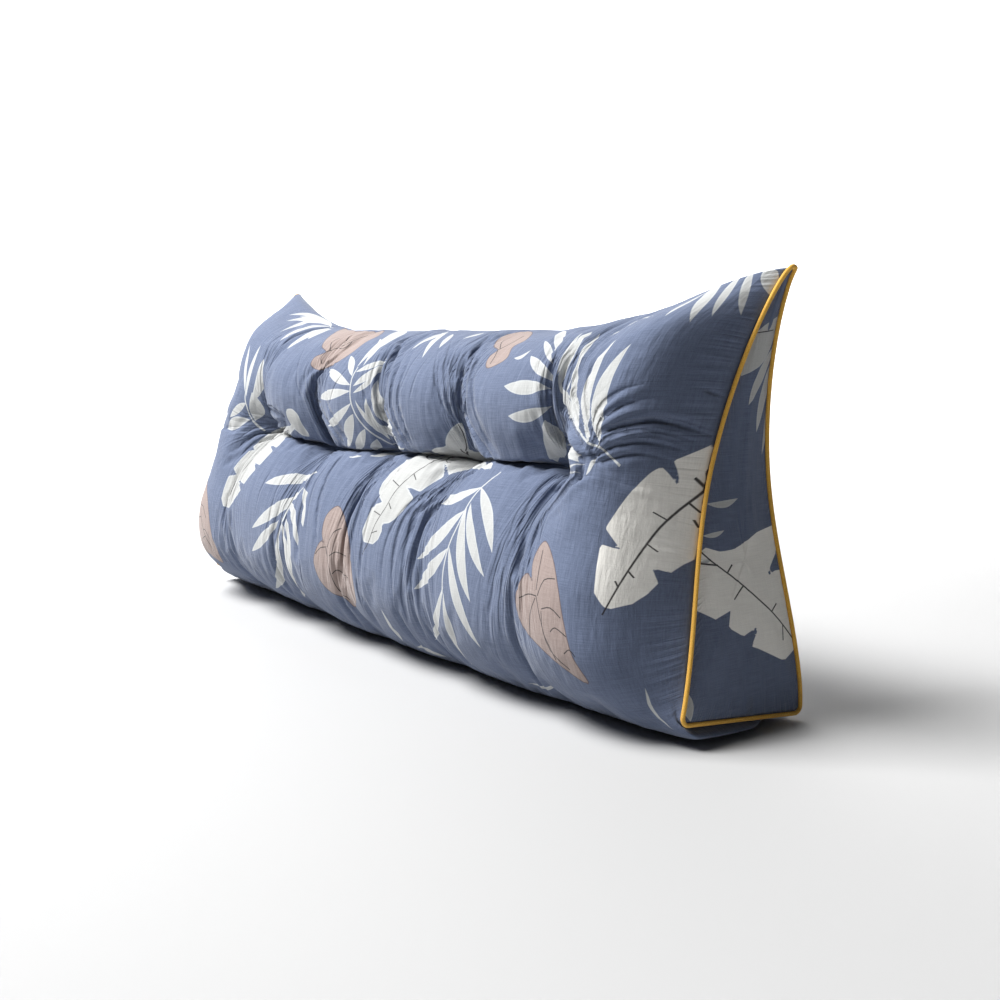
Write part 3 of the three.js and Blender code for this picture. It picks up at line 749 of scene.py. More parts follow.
# ---------------------------------------------------------------- print
PANEL_AT = {1: 1000.0, -1: -1000.0}  # u of the middle of each end panel's cloth
LEAFLETS, LINES, VALLEYS = [], [], []  # strokes
CREAM, SAND, TAN = [], [], []  # outlines
SHORTEST, THINNEST, MOST_BEND = 0.5, 1.2, 30.0  # mm
WIDEST = 1.7  # times the drawn width, where the view is steep
STEM_WIDTH, VEIN_WIDTH = 1.5, 0.9


def stroke(target, start, end, width, bend=0.0, bar=False):
    """A pointed leaflet, or a bar of even width, from start to end in cloth coordinates"""
    dx, dw = end[0] - start[0], end[1] - start[1]
    length = math.hypot(dx, dw)
    if length > SHORTEST:
        half = -width / 2 if bar else width / 2
        target.append((start[0], start[1], length, math.atan2(dw, dx), half, bend))


def curve(points, steps=3):
    """Smooth open line through points"""
    p = np.array([points[0], *points, points[-1]], float)
    f = (np.arange(steps) / steps)[:, None]
    return np.concatenate([*(catmull(*four, f) for four in zip(p, p[1:], p[2:], p[3:])), p[-1:]])


def rounded(points, steps=5):
    """Smooth closed line through points"""
    p = np.array(points, float)
    f = (np.arange(steps) / steps)[:, None]
    return np.concatenate([catmull(*four, f) for four in zip(*(np.roll(p, -k, 0) for k in (-1, 0, 1, 2)))])


def line(target, place, points, width):
    """A line of even width in mm through drawn points"""
    spots = [place(*p) for p in (curve(points) if len(points) > 2 else points)]
    for a, b in zip(spots, spots[1:]):
        stroke(target, a, b, width, bar=True)


def leaflet(place, root, tip, wide, bow, beyond=0.0):
    """White leaflet as drawn: its width, and how far it bows to its right. place turns drawn
    points into cloth coordinates; beyond lengthens it past a root that is out of sight"""
    dx, dy = tip[0] - root[0], tip[1] - root[1]
    nx, ny = -dy / math.hypot(dx, dy), dx / math.hypot(dx, dy)
    mx, my = (root[0] + tip[0]) / 2 + nx * bow, (root[1] + tip[1]) / 2 + ny * bow
    a, b, middle = (np.array(place(*p)) for p in (root, tip, (mx, my)))
    one, other = (np.array(place(mx + k * nx * wide / 2, my + k * ny * wide / 2)) for k in (1, -1))
    a = a + beyond * (a - b)
    across = np.array([a[1] - b[1], b[0] - a[0]]) / max(1e-6, np.linalg.norm(b - a))
    width = min(abs((one - other) @ across), WIDEST * wide)
    bend = float(np.clip((middle - (a + b) / 2) @ across, -MOST_BEND, MOST_BEND))
    stroke(LEAFLETS, a, b, max(width, THINNEST), bend)


def frond(place, stem, leaflets):
    line(LEAFLETS, place, stem, STEM_WIDTH)
    for row in leaflets:
        leaflet(place, *row)


def lobed_leaf(place, outline, veins):
    """Brown leaf: a smooth outline through a few drawn points, and its veins"""
    TAN.append(np.array([place(*p) for p in rounded(outline)]))
    for vein in veins:
        line(LINES, place, vein, VEIN_WIDTH)


def torn_leaf(target, place, rib, left, right, notches, ticks, stalk, width):
    """Pale leaf round a dark rib. left and right are half widths at shares of the rib, as drawn.

    A notch is its side (1 left, -1 right), the shares where it opens and closes, and the share
    along the rib and the distance from it at its bottom. Ticks and the stalk are drawn lines of
    the given width, like the rib.
    """
    p = curve(rib, 4)
    done = np.concatenate([[0], np.cumsum(np.hypot(*np.diff(p, axis=0).T))])
    done /= done[-1]

    def along(s):
        return np.array([np.interp(s, done, p[:, 0]), np.interp(s, done, p[:, 1])])

    def at(s, off):
        ahead = along(min(1.0, s + 0.05)) - along(max(0.0, s - 0.05))
        ahead /= np.linalg.norm(ahead)
        x, y = along(s)
        return place(x + off * ahead[1], y - off * ahead[0])

    outline = []
    for side, halves in ((1, left), (-1, right)):
        at_shares, sizes = zip(*halves)

        def rim(s):
            return s, np.interp(s, at_shares, sizes)

        stops = [(s, [rim(s)]) for s in np.unique([*np.linspace(0, 1, 31), *at_shares])]
        for which, opens, closes, bottom, depth in notches:
            if which == side:
                edge = [rim(opens), (bottom, depth), rim(closes)]
                stops = [stop for stop in stops if not opens <= stop[0] <= closes] + [(opens, edge)]
        stops.sort(key=lambda stop: stop[0])
        spots = [at(s, side * size) for _, group in stops for s, size in group]
        outline += spots if side == 1 else spots[::-1]
    target.append(np.array(outline))
    line(LINES, place, [*stalk, *(along(s) for s in np.linspace(0, 0.94, 9))], width)
    for tick in ticks:
        line(LINES, place, tick, width)


def laid(u, w, centre, turn, scale, wide, flip=1):
    """Lays a motif that was drawn foreshortened round centre flat on the cloth at u, w"""
    c, s = math.cos(math.radians(turn)), math.sin(math.radians(turn))

    def place(px, py):
        x, y = (px - centre[0]) * wide * flip * scale, (centre[1] - py) * scale
        return u + x * c - y * s, w + x * s + y * c

    return place


seen = Picker(cover)
VALLEY_LEAST, VALLEY_GROW, VALLEY_MOST = 0.5, 0.2, 1.8  # depth in mm, and how it grows with a crease's
PANEL_MIDDLE_Z, PANEL_OUT, PANEL_ROUNDS = 180.0, 3.0, 6


def fold_line(points, deep):
    """A crisp valley for the bump that fades at both ends"""
    spots = [seen(*p) for p in curve(points)]
    for k, (a, b) in enumerate(zip(spots, spots[1:])):
        share = (k + 0.5) / (len(spots) - 1)
        strength = float(smooth(share / 0.2) * smooth((1 - share) / 0.6))
        stroke(VALLEYS, a, b, deep * (0.2 + 0.8 * strength), bar=True)


for points, depth, _ in CREASES:
    fold_line(points, min(VALLEY_MOST, VALLEY_LEAST + VALLEY_GROW * depth))
for points, depth in FINE_FOLDS:
    fold_line(points, depth)


def on_panel(px, py):
    """Cloth coordinates of the right end panel at a picture point, also past the panel's edge"""
    ray, z = view_ray(px, py), PANEL_MIDDLE_Z
    for _ in range(PANEL_ROUNDS):
        spot = VIEW_FROM + ray * (float(end_x(z)) + PANEL_OUT - VIEW_FROM[0]) / ray[0]
        z = spot[2]
    return PANEL_AT[1] + spot[1], spot[2]


# Motifs in points of the 1000 by 1000 picture. Leaflets: root, tip, width, bow
LOW_FROND = (
    [(501, 472), (482, 487), (469, 503), (459, 523), (449, 545), (443, 571), (442, 594)], [
        ((482, 487), (441, 503), 8, -1), ((481, 487), (492, 553), 11, -2), ((465, 510), (417, 559), 10, 0),
        ((471, 503), (484, 577), 9, 6), ((467, 507), (470, 602), 9, 8), ((448, 548), (414, 589), 9, 0),
        ((449, 546), (481, 648), 8, 9), ((443, 586), (435, 640), 7, 1), ((443, 592), (472, 665), 6, 8)])
LOW_LEFT_FROND = (
    [(317, 472), (311, 475), (302, 489), (291, 504), (283, 520), (277, 542), (276, 560)], [
        ((312, 475), (265, 483), 10, 0), ((301, 490), (252, 528), 11, 0), ((279, 520), (252, 551), 9, 0),
        ((278, 533), (276, 588), 7, -3), ((281, 517), (305, 597), 8, 7), ((287, 512), (298, 584), 6, 4),
        ((292, 501), (298, 546), 6, 1), ((304, 488), (303, 527), 7, 0), ((284, 530), (289, 566), 8, 2)])
TUFT_FROND = (
    [(404, 449), (385, 441), (368, 430), (357, 417), (351, 403), (350, 391), (352, 378), (358, 367)], [
        ((350, 391), (320, 398), 10, 1), ((351, 403), (328, 426), 9, -1), ((353, 414), (348, 447), 10, 2),
        ((365, 429), (358, 449), 10, 0), ((377, 439), (377, 450), 13, 0), ((350, 385), (330, 369), 10, -2),
        ((352, 376), (351, 356), 7, 0), ((357, 367), (398, 331), 12, 2), ((363, 366), (380, 339), 5, 2),
        ((356, 372), (387, 359), 5, 0), ((353, 386), (386, 361), 7, 1), ((353, 393), (381, 371), 5, 1),
        ((355, 400), (397, 442), 7, 4), ((378, 380), (396, 438), 8, 4), ((366, 398), (391, 440), 7, 6),
        ((372, 388), (390, 420), 5, 3)])
WING_FROND = (
    [(265, 431), (253, 421), (247, 407), (245, 396), (248, 380)], [
        ((250, 420), (223, 428), 12, 2), ((246, 403), (226, 416), 7, -1), ((251, 402), (264, 359), 9, 2),
        ((252, 392), (255, 421), 14, -3), ((246, 397), (261, 345), 5, -3), ((245, 392), (250, 345), 4, -2)])
EAR_FAN = (
    [(333, 328), (330, 326)], [
        ((331, 327), (289, 315), 8, 7), ((331, 327), (286, 321), 8, 5), ((331, 327), (280, 332), 9, 8),
        ((330, 327), (280, 341), 9, 6), ((330, 328), (287, 349), 9, 3), ((332, 329), (308, 339), 7, 2),
        ((329, 325), (299, 317), 7, 3)])
RIGHT_TUFT_FROND = (
    [(620, 466), (601, 448), (588, 443), (578, 429), (568, 411), (562, 392), (560, 376), (566, 362),
     (577, 348)], [
        ((600, 448), (631, 344), 13, -15), ((588, 443), (617, 339), 9, -15), ((580, 434), (588, 349), 7, -8),
        ((575, 428), (562, 387), 7, -1), ((553, 380), (531, 356), 12, -2), ((553, 364), (545, 341), 8, 0),
        ((555, 351), (563, 331), 9, 0), ((560, 384), (592, 332), 5, -3), ((557, 374), (583, 333), 5, -3),
        ((566, 392), (600, 334), 4, -5), ((552, 389), (504, 386), 15, 0), ((552, 406), (508, 416), 13, -4),
        ((545, 420), (558, 462), 21, 0), ((567, 445), (579, 462), 9, -2), ((531, 350), (514, 358), 3, -2)])
for motif in (LOW_FROND, LOW_LEFT_FROND, TUFT_FROND, WING_FROND, EAR_FAN, RIGHT_TUFT_FROND):
    frond(seen, *motif)
for row in [  # leaflets that come over the ridge
    ((715, 286), (690, 322), 11, 1), ((734, 282), (712, 316), 8, 1), ((747, 278), (741, 315), 11, 0),
    ((768, 270), (773, 293), 19, 0), ((697, 298), (665, 316), 3, 1), ((640, 321), (610, 336), 3, 1),
    ((438, 335), (412, 349), 5, 1), ((440, 335), (422, 358), 5, 1), ((449, 337), (439, 348), 4, 0),
    ((478, 334), (463, 339), 3, 0),
]:
    leaflet(seen, *row, beyond=0.4)
for row in [  # bits of leaflets beside the furrow and at the foot
    ((344, 452), (371, 450), 3, 0), ((349, 457), (362, 456), 2, 0), ((370, 456), (404, 452), 4, 0),
    ((645, 688), (674, 730), 2.5, 6), ((381, 609), (403, 641), 3, 2), ((417, 647), (447, 657), 5, 0),
    ((528, 684), (558, 691), 3, 0), ((598, 456), (586, 475), 4, 1), ((563, 467), (585, 464), 3, 0),
    ((570, 470), (580, 473), 3, 0),
]:
    leaflet(seen, *row)


def big_leaf(place):
    torn_leaf(
        SAND, place,
        [(606, 608), (618, 587), (628, 571), (647, 544), (667, 520), (689, 503), (715, 482), (745, 456)],
        [(0, 4), (0.035, 18), (0.23, 37), (0.28, 40), (0.32, 43), (0.60, 47), (0.66, 45), (0.73, 42),
         (0.95, 28), (1, 8)],
        [(0, 3), (0.08, 21), (0.16, 29), (0.24, 32), (0.33, 37), (0.4, 42), (0.45, 47), (0.5, 44),
         (0.7, 40), (0.9, 30), (1, 8)],
        [(1, 0.24, 0.31, 0.27, 17), (1, 0.65, 0.72, 0.66, 17), (-1, 0.24, 0.32, 0.285, 18)],
        [[(695, 478), (706, 488)], [(689, 503), (701, 513)], [(694, 520), (699, 528)],
         [(653, 512), (667, 520)], [(647, 544), (658, 552)], [(628, 571), (634, 578)],
         [(615, 581), (618, 587)]],
        [(602, 615)], 1.05)


def curved_leaf(place):
    torn_leaf(
        CREAM, place,
        [(368, 543), (371, 533), (380, 515), (389, 503), (399, 486), (414, 474), (434, 461), (451, 457),
         (472, 459), (492, 466)],
        [(0, 5), (0.06, 9), (0.16, 10), (0.24, 12), (0.32, 15), (0.5, 15), (0.7, 11), (0.9, 8), (1, 3)],
        [(0, 5), (0.04, 9), (0.12, 9), (0.2, 14), (0.38, 19), (0.5, 18), (0.7, 19), (0.85, 12), (1, 4)],
        [(1, 0.20, 0.29, 0.25, 6), (1, 0.62, 0.66, 0.64, 4), (-1, 0.10, 0.17, 0.14, 6),
         (-1, 0.39, 0.47, 0.42, 5), (-1, 0.66, 0.72, 0.7, 4)],
        [[(371, 533), (377, 531)], [(380, 515), (374, 511)], [(389, 503), (391, 509)],
         [(399, 486), (393, 480)], [(414, 474), (416, 480)], [(434, 461), (431, 455)],
         [(451, 457), (451, 463)]],
        [(362, 554)], 0.9)


def broad_leaf(place):
    lobed_leaf(place, [
        (536, 596), (532, 578), (534, 558), (545, 541), (553, 559), (558, 588), (563, 620), (572, 656),
        (589, 684), (565, 669), (543, 650), (524, 628), (516, 605), (518, 586), (527, 573), (533, 585)], [
        [(536, 596), (541, 623), (550, 650), (570, 670)], [(536, 596), (528, 594), (519, 598)],
        [(537, 596), (544, 580), (555, 579)], [(541, 609), (550, 608), (560, 618)],
        [(550, 632), (555, 628), (566, 637)], [(564, 654), (569, 650), (575, 657)],
        [(535, 598), (530, 614), (530, 639)], [(541, 611), (543, 632), (556, 660)],
        [(536, 590), (539, 570), (543, 550)]])


big_leaf(seen)
curved_leaf(seen)
torn_leaf(
    CREAM, seen, [(226, 507), (232, 490), (242, 472), (258, 454), (274, 439), (294, 427)],
    [(0, 3), (0.06, 7), (0.25, 9), (0.45, 9), (0.7, 8), (0.9, 6), (1, 2)],
    [(0, 3), (0.06, 5), (0.2, 8), (0.5, 9), (0.8, 8), (1, 2)],
    [(1, 0.27, 0.34, 0.31, 2), (1, 0.55, 0.6, 0.58, 4), (-1, 0.2, 0.27, 0.26, 1),
     (-1, 0.46, 0.52, 0.5, 3), (-1, 0.7, 0.75, 0.73, 2)],
    (), (), 0.6)
broad_leaf(seen)
lobed_leaf(seen, [
    (326, 547), (322, 535), (326, 516), (338, 506), (345, 519), (349, 542), (352, 575), (356, 606), (345, 598),
    (331, 592), (320, 580), (314, 564), (315, 552), (321, 541)], [
    [(326, 548), (329, 568), (336, 586), (350, 600)], [(326, 547), (320, 548), (315, 554)],
    [(327, 547), (333, 533), (342, 528)], [(329, 556), (336, 552), (346, 556)],
    [(332, 574), (338, 570), (348, 578)]])
lobed_leaf(seen, [
    (326, 352), (322, 346), (330, 336), (346, 328), (366, 327), (384, 330), (378, 336), (366, 342), (350, 354),
    (334, 364), (320, 370), (311, 365), (315, 357)], [
    [(326, 352), (342, 346), (360, 338), (376, 333)], [(326, 352), (321, 358), (322, 364)],
    [(330, 350), (332, 342), (340, 338)], [(338, 348), (345, 348), (352, 342)],
    [(345, 343), (350, 336), (358, 333)]])
lobed_leaf(seen, [
    (498, 350), (494, 346), (500, 338), (514, 333), (532, 332), (526, 340), (513, 347), (506, 359), (489, 368),
    (486, 364), (490, 356)], [
    [(498, 350), (510, 344), (524, 336)], [(498, 350), (494, 358), (490, 364)],
    [(500, 349), (502, 342), (510, 338)]])
lobed_leaf(lambda u, w: (u, w), [  # round the left wing, mostly out of sight: drawn in cloth coordinates
    (-346, 166), (-330, 155), (-316, 143), (-308, 130), (-302, 113), (-297, 96), (-294, 80), (-299, 63),
    (-316, 68), (-334, 70), (-352, 74), (-366, 88), (-372, 108), (-368, 132), (-358, 152), (-351, 157)], [
    [(-350, 160), (-338, 132), (-322, 104), (-303, 72)], [(-339, 134), (-326, 132), (-314, 120)],
    [(-331, 119), (-346, 116), (-358, 98)], [(-323, 105), (-314, 104), (-305, 93)],
    [(-318, 97), (-330, 92), (-338, 80)]])
for outline in [  # two cream leaves that the furrow hides in part
    [(447, 448), (446, 438), (451, 429), (457, 424), (462, 423), (465, 432), (468, 445), (470, 458),
     (460, 458)],
    [(286, 410), (292, 409), (298, 415), (302, 424), (310, 436), (302, 435), (294, 428), (288, 419)],
]:
    CREAM.append(np.array([seen(*p) for p in rounded(outline, 3)]))
for points in [[(458, 424), (463, 433), (466, 443), (468, 455)], [(461, 449), (468, 455)]]:
    line(LINES, seen, points, 1.0)

# the right end panel
for row in [
    ((780, 316), (742, 376), 20, 0), ((777, 345), (747, 405), 8, 2), ((776, 357), (755, 432), 8, 2),
    ((708, 504), (735, 498), 7, 3), ((704, 536), (722, 530), 5, 2), ((700, 563), (711, 559), 4, 1),
    ((686, 690), (692, 722), 10, 0), ((770, 395), (762, 455), 4, -1),
]:
    leaflet(on_panel, *row)
line(LINES, on_panel, [(757, 333), (774, 330)], VEIN_WIDTH)
torn_leaf(
    SAND, on_panel, [(702, 552), (716, 566), (724, 572), (740, 585), (770, 612), (781, 623), (800, 646)],
    [(0, 6), (0.08, 12), (0.15, 24), (0.22, 50), (0.29, 68), (0.41, 52), (0.49, 34), (0.53, 40),
     (0.68, 40), (0.9, 26), (1, 12)],
    [(0, 50), (0.2, 48), (0.39, 43), (0.5, 41), (0.63, 37), (0.74, 39), (0.98, 24), (1, 20)],
    [(1, 0.41, 0.49, 0.46, 22), (-1, 0.39, 0.5, 0.42, 27), (-1, 0.63, 0.74, 0.655, 17)],
    [[(725, 572), (729, 564)], [(740, 585), (731, 599)], [(769, 611), (775, 603)],
     [(782, 625), (782, 640)], [(702, 564), (716, 565)]],
    (), 1.3)

# the rest of the cloth, out of sight in the picture: the same motifs, laid flat
FROND_AT, LEFT_FROND_AT = (455, 565), (285, 530)
BIG_AT, BROAD_AT, CURVED_AT = (660, 540), (550, 615), (425, 495)
FROND_SCALE, LEAF_SCALE = 0.95, 0.74
WIDENED, LEAF_WIDENED = 1.64, 1.5  # how much the picture's view narrows a motif
for u, w, turn, flip, motif in [
    (-325, 568, 12, 1, LOW_FROND), (-118, 540, 168, 1, LOW_LEFT_FROND), (42, 622, -14, -1, LOW_FROND),
    (215, 560, 25, 1, LOW_LEFT_FROND), (345, 640, -160, 1, LOW_FROND), (-222, 722, 75, -1, LOW_LEFT_FROND),
    (150, 850, 80, 1, LOW_FROND), (-180, 850, -95, 1, LOW_FROND), (320, 855, 100, -1, LOW_LEFT_FROND),
]:
    centre = FROND_AT if motif is LOW_FROND else LEFT_FROND_AT
    frond(laid(u, w, centre, turn, FROND_SCALE, WIDENED, flip), *motif)
for u, w, turn, flip in [(-205, 618, 10, -1), (162, 706, -20, 1), (300, 520, 190, 1), (-20, 860, 70, 1)]:
    big_leaf(laid(u, w, BIG_AT, turn, LEAF_SCALE, WIDENED, flip))
for u, w, turn, flip in [(-20, 560, 20, 1), (-350, 700, 35, 1), (-105, 690, -30, -1), (250, 652, 15, -1)]:
    broad_leaf(laid(u, w, BROAD_AT, turn, LEAF_SCALE, LEAF_WIDENED, flip))
for u, w, turn, flip in [(380, 700, 20, -1), (-320, 850, 20, 1)]:
    curved_leaf(laid(u, w, CURVED_AT, turn, FROND_SCALE, LEAF_WIDENED, flip))
# the left end panel
middle = PANEL_AT[-1] + 15
frond(laid(middle + 5, 250, FROND_AT, 20, 0.75, LEAF_WIDENED), *LOW_FROND)
big_leaf(laid(middle - 10, 110, BIG_AT, -20, 0.62, 1.6))
broad_leaf(laid(middle + 25, 45, BROAD_AT, 70, 0.6, LEAF_WIDENED))


# ---------------------------------------------------------------- meshes
LEAFLET_SLOTS, LINE_SLOTS, VALLEY_SLOTS, PLEAT_LAYERS = 5, 3, 3, 3
STROKES = [  # label, strokes, how many a face can hold, how far their effect reaches in mm
    ("leaflet", LEAFLETS, LEAFLET_SLOTS, 1.0),
    ("line", LINES, LINE_SLOTS, 1.0),
    ("valley", VALLEYS, VALLEY_SLOTS, 2.6),
]
OUTLINES = [("leaf_cream", CREAM), ("leaf_sand", SAND), ("leaf_tan", TAN)]
NEAR_OUTLINE, FAR_AWAY = 12, -1e3  # mm
NO_STROKE = (9999.0, 9999.0, 1.0), (0.0, 0.5, 0.0)
UNPRINTED = 5000.0  # cloth coordinate of the caps under the end panels
CAP_RINGS = 1.0, 0.7, 0.4
PANEL_RINGS, PANEL_CORE = 44, 0.03
PANEL_WAVE, PANEL_PUCKER, PANEL_PUCKER_REACH = 1.2, 0.6, 0.14
CORD_SIDES = 16


def distance_to(outlines, uw):
    """Distance from cloth points to the nearest outline, positive inside"""
    best = np.full(len(uw), FAR_AWAY)
    for outline in outlines:
        low, high = outline.min(0) - NEAR_OUTLINE, outline.max(0) + NEAR_OUTLINE
        near = ((uw > low) & (uw < high)).all(1)
        p = uw[near]
        if not len(p):
            continue
        a, b = outline, np.roll(outline, -1, 0)
        e = b - a
        rel = p[:, None] - a
        s = clamp01((rel * e).sum(-1) / np.maximum((e * e).sum(-1), 1e-9))
        gap = np.linalg.norm(rel - s[..., None] * e, axis=-1).min(1)
        crosses = (a[:, 1] > p[:, None, 1]) != (b[:, 1] > p[:, None, 1])
        rise = np.where(np.abs(e[:, 1]) < 1e-9, 1e-9, e[:, 1])
        at = a[:, 0] + (p[:, None, 1] - a[:, 1]) / rise * e[:, 0]
        inside = (crosses & (p[:, None, 0] < at)).sum(1) % 2 == 1
        best[near] = np.maximum(best[near], np.where(inside, gap, -gap))
    return best


def nearest_strokes(strokes, centres, radius, slots, margin):
    """For each face the strokes that come closest to it, as two vectors a slot"""
    strokes = np.array(strokes)
    gap = np.empty((len(strokes), len(centres)), np.float32)
    for k, (x0, w0, length, angle, half, bend) in enumerate(strokes):
        dx, dw = centres[:, 0] - x0, centres[:, 1] - w0
        c, s = math.cos(angle), math.sin(angle)
        along, across = dx * c + dw * s, dw * c - dx * s
        share = clamp01(along / length)
        bow = 4 * bend * share * (1 - share)
        profile = 1.0 if half < 0 else 4 * share * (1 - share)
        beyond = np.maximum(0, np.maximum(-along, along - length))
        gap[k] = np.hypot(np.maximum(0, np.abs(across - bow) - abs(half) * profile), beyond)
    order = np.argsort(gap, axis=0)[:slots]
    found = []
    for row in order:
        chosen = strokes[row]
        far = np.take_along_axis(gap, row[None], 0)[0] > radius + margin
        a, b = chosen[:, :3].copy(), chosen[:, 3:].copy()
        a[far], b[far] = NO_STROKE
        found.append((a, b))
    return found


def smooth_mesh(name, points, faces):
    mesh = bpy.data.meshes.new(name)
    mesh.from_pydata(points, [], faces)
    mesh.polygons.foreach_set("use_smooth", [True] * len(mesh.polygons))
    return mesh


def lay_cloth(mesh, corner_uw):
    """Keeps the cloth coordinates of every face's corners, in metres"""
    layer = mesh.uv_layers.new(name="cloth")
    layer.data.foreach_set("uv", (corner_uw * MM).astype(np.float32).ravel())


def store(mesh, label, values):
    """Keeps a number for every point, or a vector for every face"""
    kind, domain, key = ("FLOAT", "POINT", "value") if values.ndim == 1 else ("FLOAT_VECTOR", "FACE", "vector")
    item = mesh.attributes.new(label, kind, domain)
    item.data.foreach_set(key, values.astype(np.float32).ravel())


def cloth_mesh(name, points, faces, corner_uw, point_uw, fine):
    """A piece of the cover with its cloth coordinates and with what the print needs stored on it"""
    mesh = smooth_mesh(name, metres(points).tolist(), faces)
    lay_cloth(mesh, np.concatenate(corner_uw))
    for label, outlines in OUTLINES:
        store(mesh, label, distance_to(outlines, point_uw))
    for k, values in enumerate(fine):
        store(mesh, f"pleat_{'qs'[k % 2]}{k // 2}", values)
    centres = np.array([c.mean(0) for c in corner_uw])
    radius = np.array([np.linalg.norm(c - m, axis=1).max() for c, m in zip(corner_uw, centres)])
    for label, strokes, slots, margin in STROKES:
        for k, pair in enumerate(nearest_strokes(strokes, centres, radius, slots, margin)):
            for letter, values in zip("ab", pair):
                store(mesh, f"{label}_{letter}{k}", values)
    mesh.materials.append(CLOTH)
    return placed(name, mesh)


# ---------------------------------------------------------------- materials
# The darkest and the lightest threads of each colour
DYED = (0.086, 0.11, 0.176, 1), (0.141, 0.174, 0.262, 1)
WHITE = (0.445, 0.46, 0.465, 1), (0.535, 0.55, 0.55, 1)
INNER = (0.39, 0.395, 0.39, 1), (0.47, 0.475, 0.465, 1)  # inside the edge of a white leaf
# sand leaves: partly their own warm print tone, partly painted light, much paler than WHITE so that the big
# leaves on the dimly lit right wing and end panel read bright
WARM_PAINTED_LIGHT = (0.77, 0.752, 0.708, 1), (0.9, 0.882, 0.832, 1)
BROWN = (0.26, 0.204, 0.188, 1), (0.34, 0.272, 0.25, 1)
YELLOW = (0.68, 0.35, 0.045, 1), (0.86, 0.50, 0.085, 1)
BROWN_EDGE, VEIN = (0.10, 0.07, 0.07, 1), (0.018, 0.015, 0.018, 1)
EDGE = (-0.3, 0.3)  # mm over which a printed edge turns
RIM_EDGE, VALLEY_EDGE = (0.5, 1.6), (-2.0, 0.4)
GRAIN_ROUGH, NOISE_PLAIN = 0.6, 0.5
THREAD_HEIGHT, CRINKLE_HEIGHT, VALLEY_HEIGHT = 0.16, 0.9, 2.3  # mm
PLEAT_WANDER, PLEAT_POWER = 3.0, 0.6
CORD_GRAIN, CORD_BUMP, CORD_BUMP_HEIGHT = 1.2, 0.4, 0.0003


def node(tree, kind, *inputs, out=0, **props):
    made = tree.nodes.new(kind)
    for key, value in props.items():
        setattr(made, key, value)
    for place, value in enumerate(inputs):
        if isinstance(value, bpy.types.NodeSocket):
            tree.links.new(value, made.inputs[place])
        elif value is not None:
            made.inputs[place].default_value = value
    return made.outputs[out]


def calc(tree, operation, *inputs):
    return node(tree, "ShaderNodeMath", *inputs, operation=operation)


def blend(tree, share, a, b):
    """Mix of two colours; the inputs left out are for other kinds of data"""
    return node(tree, "ShaderNodeMix", share, *[None] * 5, a, b, out=2, data_type="RGBA")


def ramp(tree, value, low, high, to_low=0.0, to_high=1.0):
    return node(tree, "ShaderNodeMapRange", value, low, high, to_low, to_high, interpolation_type="SMOOTHSTEP")


def weighted(tree, *terms):
    """Sum of sockets, each with its weight"""
    total = None
    for socket, weight in terms:
        term = calc(tree, "MULTIPLY", socket, weight)
        total = term if total is None else calc(tree, "ADD", total, term)
    return total


def stored(tree, label, out=2):
    """A number kept on the mesh, or with out=1 a vector"""
    return node(tree, "ShaderNodeAttribute", attribute_name=label, out=out)


def xyz(tree, vector):
    made = tree.nodes.new("ShaderNodeSeparateXYZ")
    tree.links.new(vector, made.inputs[0])
    return made.outputs


def fill(target, **values):
    """Sets inputs by name, with _ for a space"""
    for key, value in values.items():
        target.inputs[key.replace("_", " ")].default_value = value


def relief(tree, shader, height, strength, distance):
    bump = tree.nodes.new("ShaderNodeBump")
    fill(bump, Strength=strength, Distance=distance)
    tree.links.new(height, bump.inputs["Height"])
    tree.links.new(bump.outputs[0], shader.inputs["Normal"])


def cloth_material(name):
    """A new material with its node tree, its shader and the cloth coordinates in mm"""
    material = bpy.data.materials.new(name)
    material.use_nodes = True
    tree = material.node_tree
    uv = node(tree, "ShaderNodeUVMap", uv_map="cloth")
    place = node(tree, "ShaderNodeVectorMath", uv, (1 / MM, 1 / MM, 0.0), operation="MULTIPLY")
    return material, tree, tree.nodes["Principled BSDF"], place


def stroke_group():
    """What one stroke does at a cloth point, from its two vectors: start and length; angle, half
    width and bend. Cover is its print, Rim what lies inside a leaflet's edge, Valley its depth"""
    group = bpy.data.node_groups.new("print_stroke", "ShaderNodeTree")
    for label in ("Place", "A", "B"):
        group.interface.new_socket(label, in_out="INPUT", socket_type="NodeSocketVector")
    for label in ("Cover", "Rim", "Valley"):
        group.interface.new_socket(label, in_out="OUTPUT", socket_type="NodeSocketFloat")
    place, a, b = group.nodes.new("NodeGroupInput").outputs[:3]
    result = group.nodes.new("NodeGroupOutput")
    length = xyz(group, a)[2]
    angle, half, bend = xyz(group, b)
    away = node(group, "ShaderNodeVectorMath", place, a, operation="SUBTRACT")
    back = calc(group, "MULTIPLY", angle, -1.0)
    turned = node(group, "ShaderNodeVectorRotate", away, None, None, back, rotation_type="Z_AXIS")
    along, across, _ = xyz(group, turned)
    share = calc(group, "DIVIDE", along, length)
    rest = calc(group, "SUBTRACT", 1.0, share)
    hump = calc(group, "MULTIPLY", calc(group, "MULTIPLY", share, rest), 4.0)
    bow = calc(group, "MULTIPLY", hump, bend)
    off = calc(group, "ABSOLUTE", calc(group, "SUBTRACT", across, bow))
    width = calc(group, "ABSOLUTE", half)
    profile = calc(group, "MAXIMUM", hump, calc(group, "LESS_THAN", half, 0.0))  # even in a bar
    depth = calc(group, "SUBTRACT", calc(group, "MULTIPLY", profile, width), off)
    within = calc(group, "GREATER_THAN", hump, -0.02)
    deep = calc(group, "MULTIPLY", within, width)
    for socket, span, full in zip(result.inputs, (EDGE, RIM_EDGE, VALLEY_EDGE), (within, within, deep)):
        group.links.new(calc(group, "MULTIPLY", ramp(group, depth, *span), full), socket)
    return group


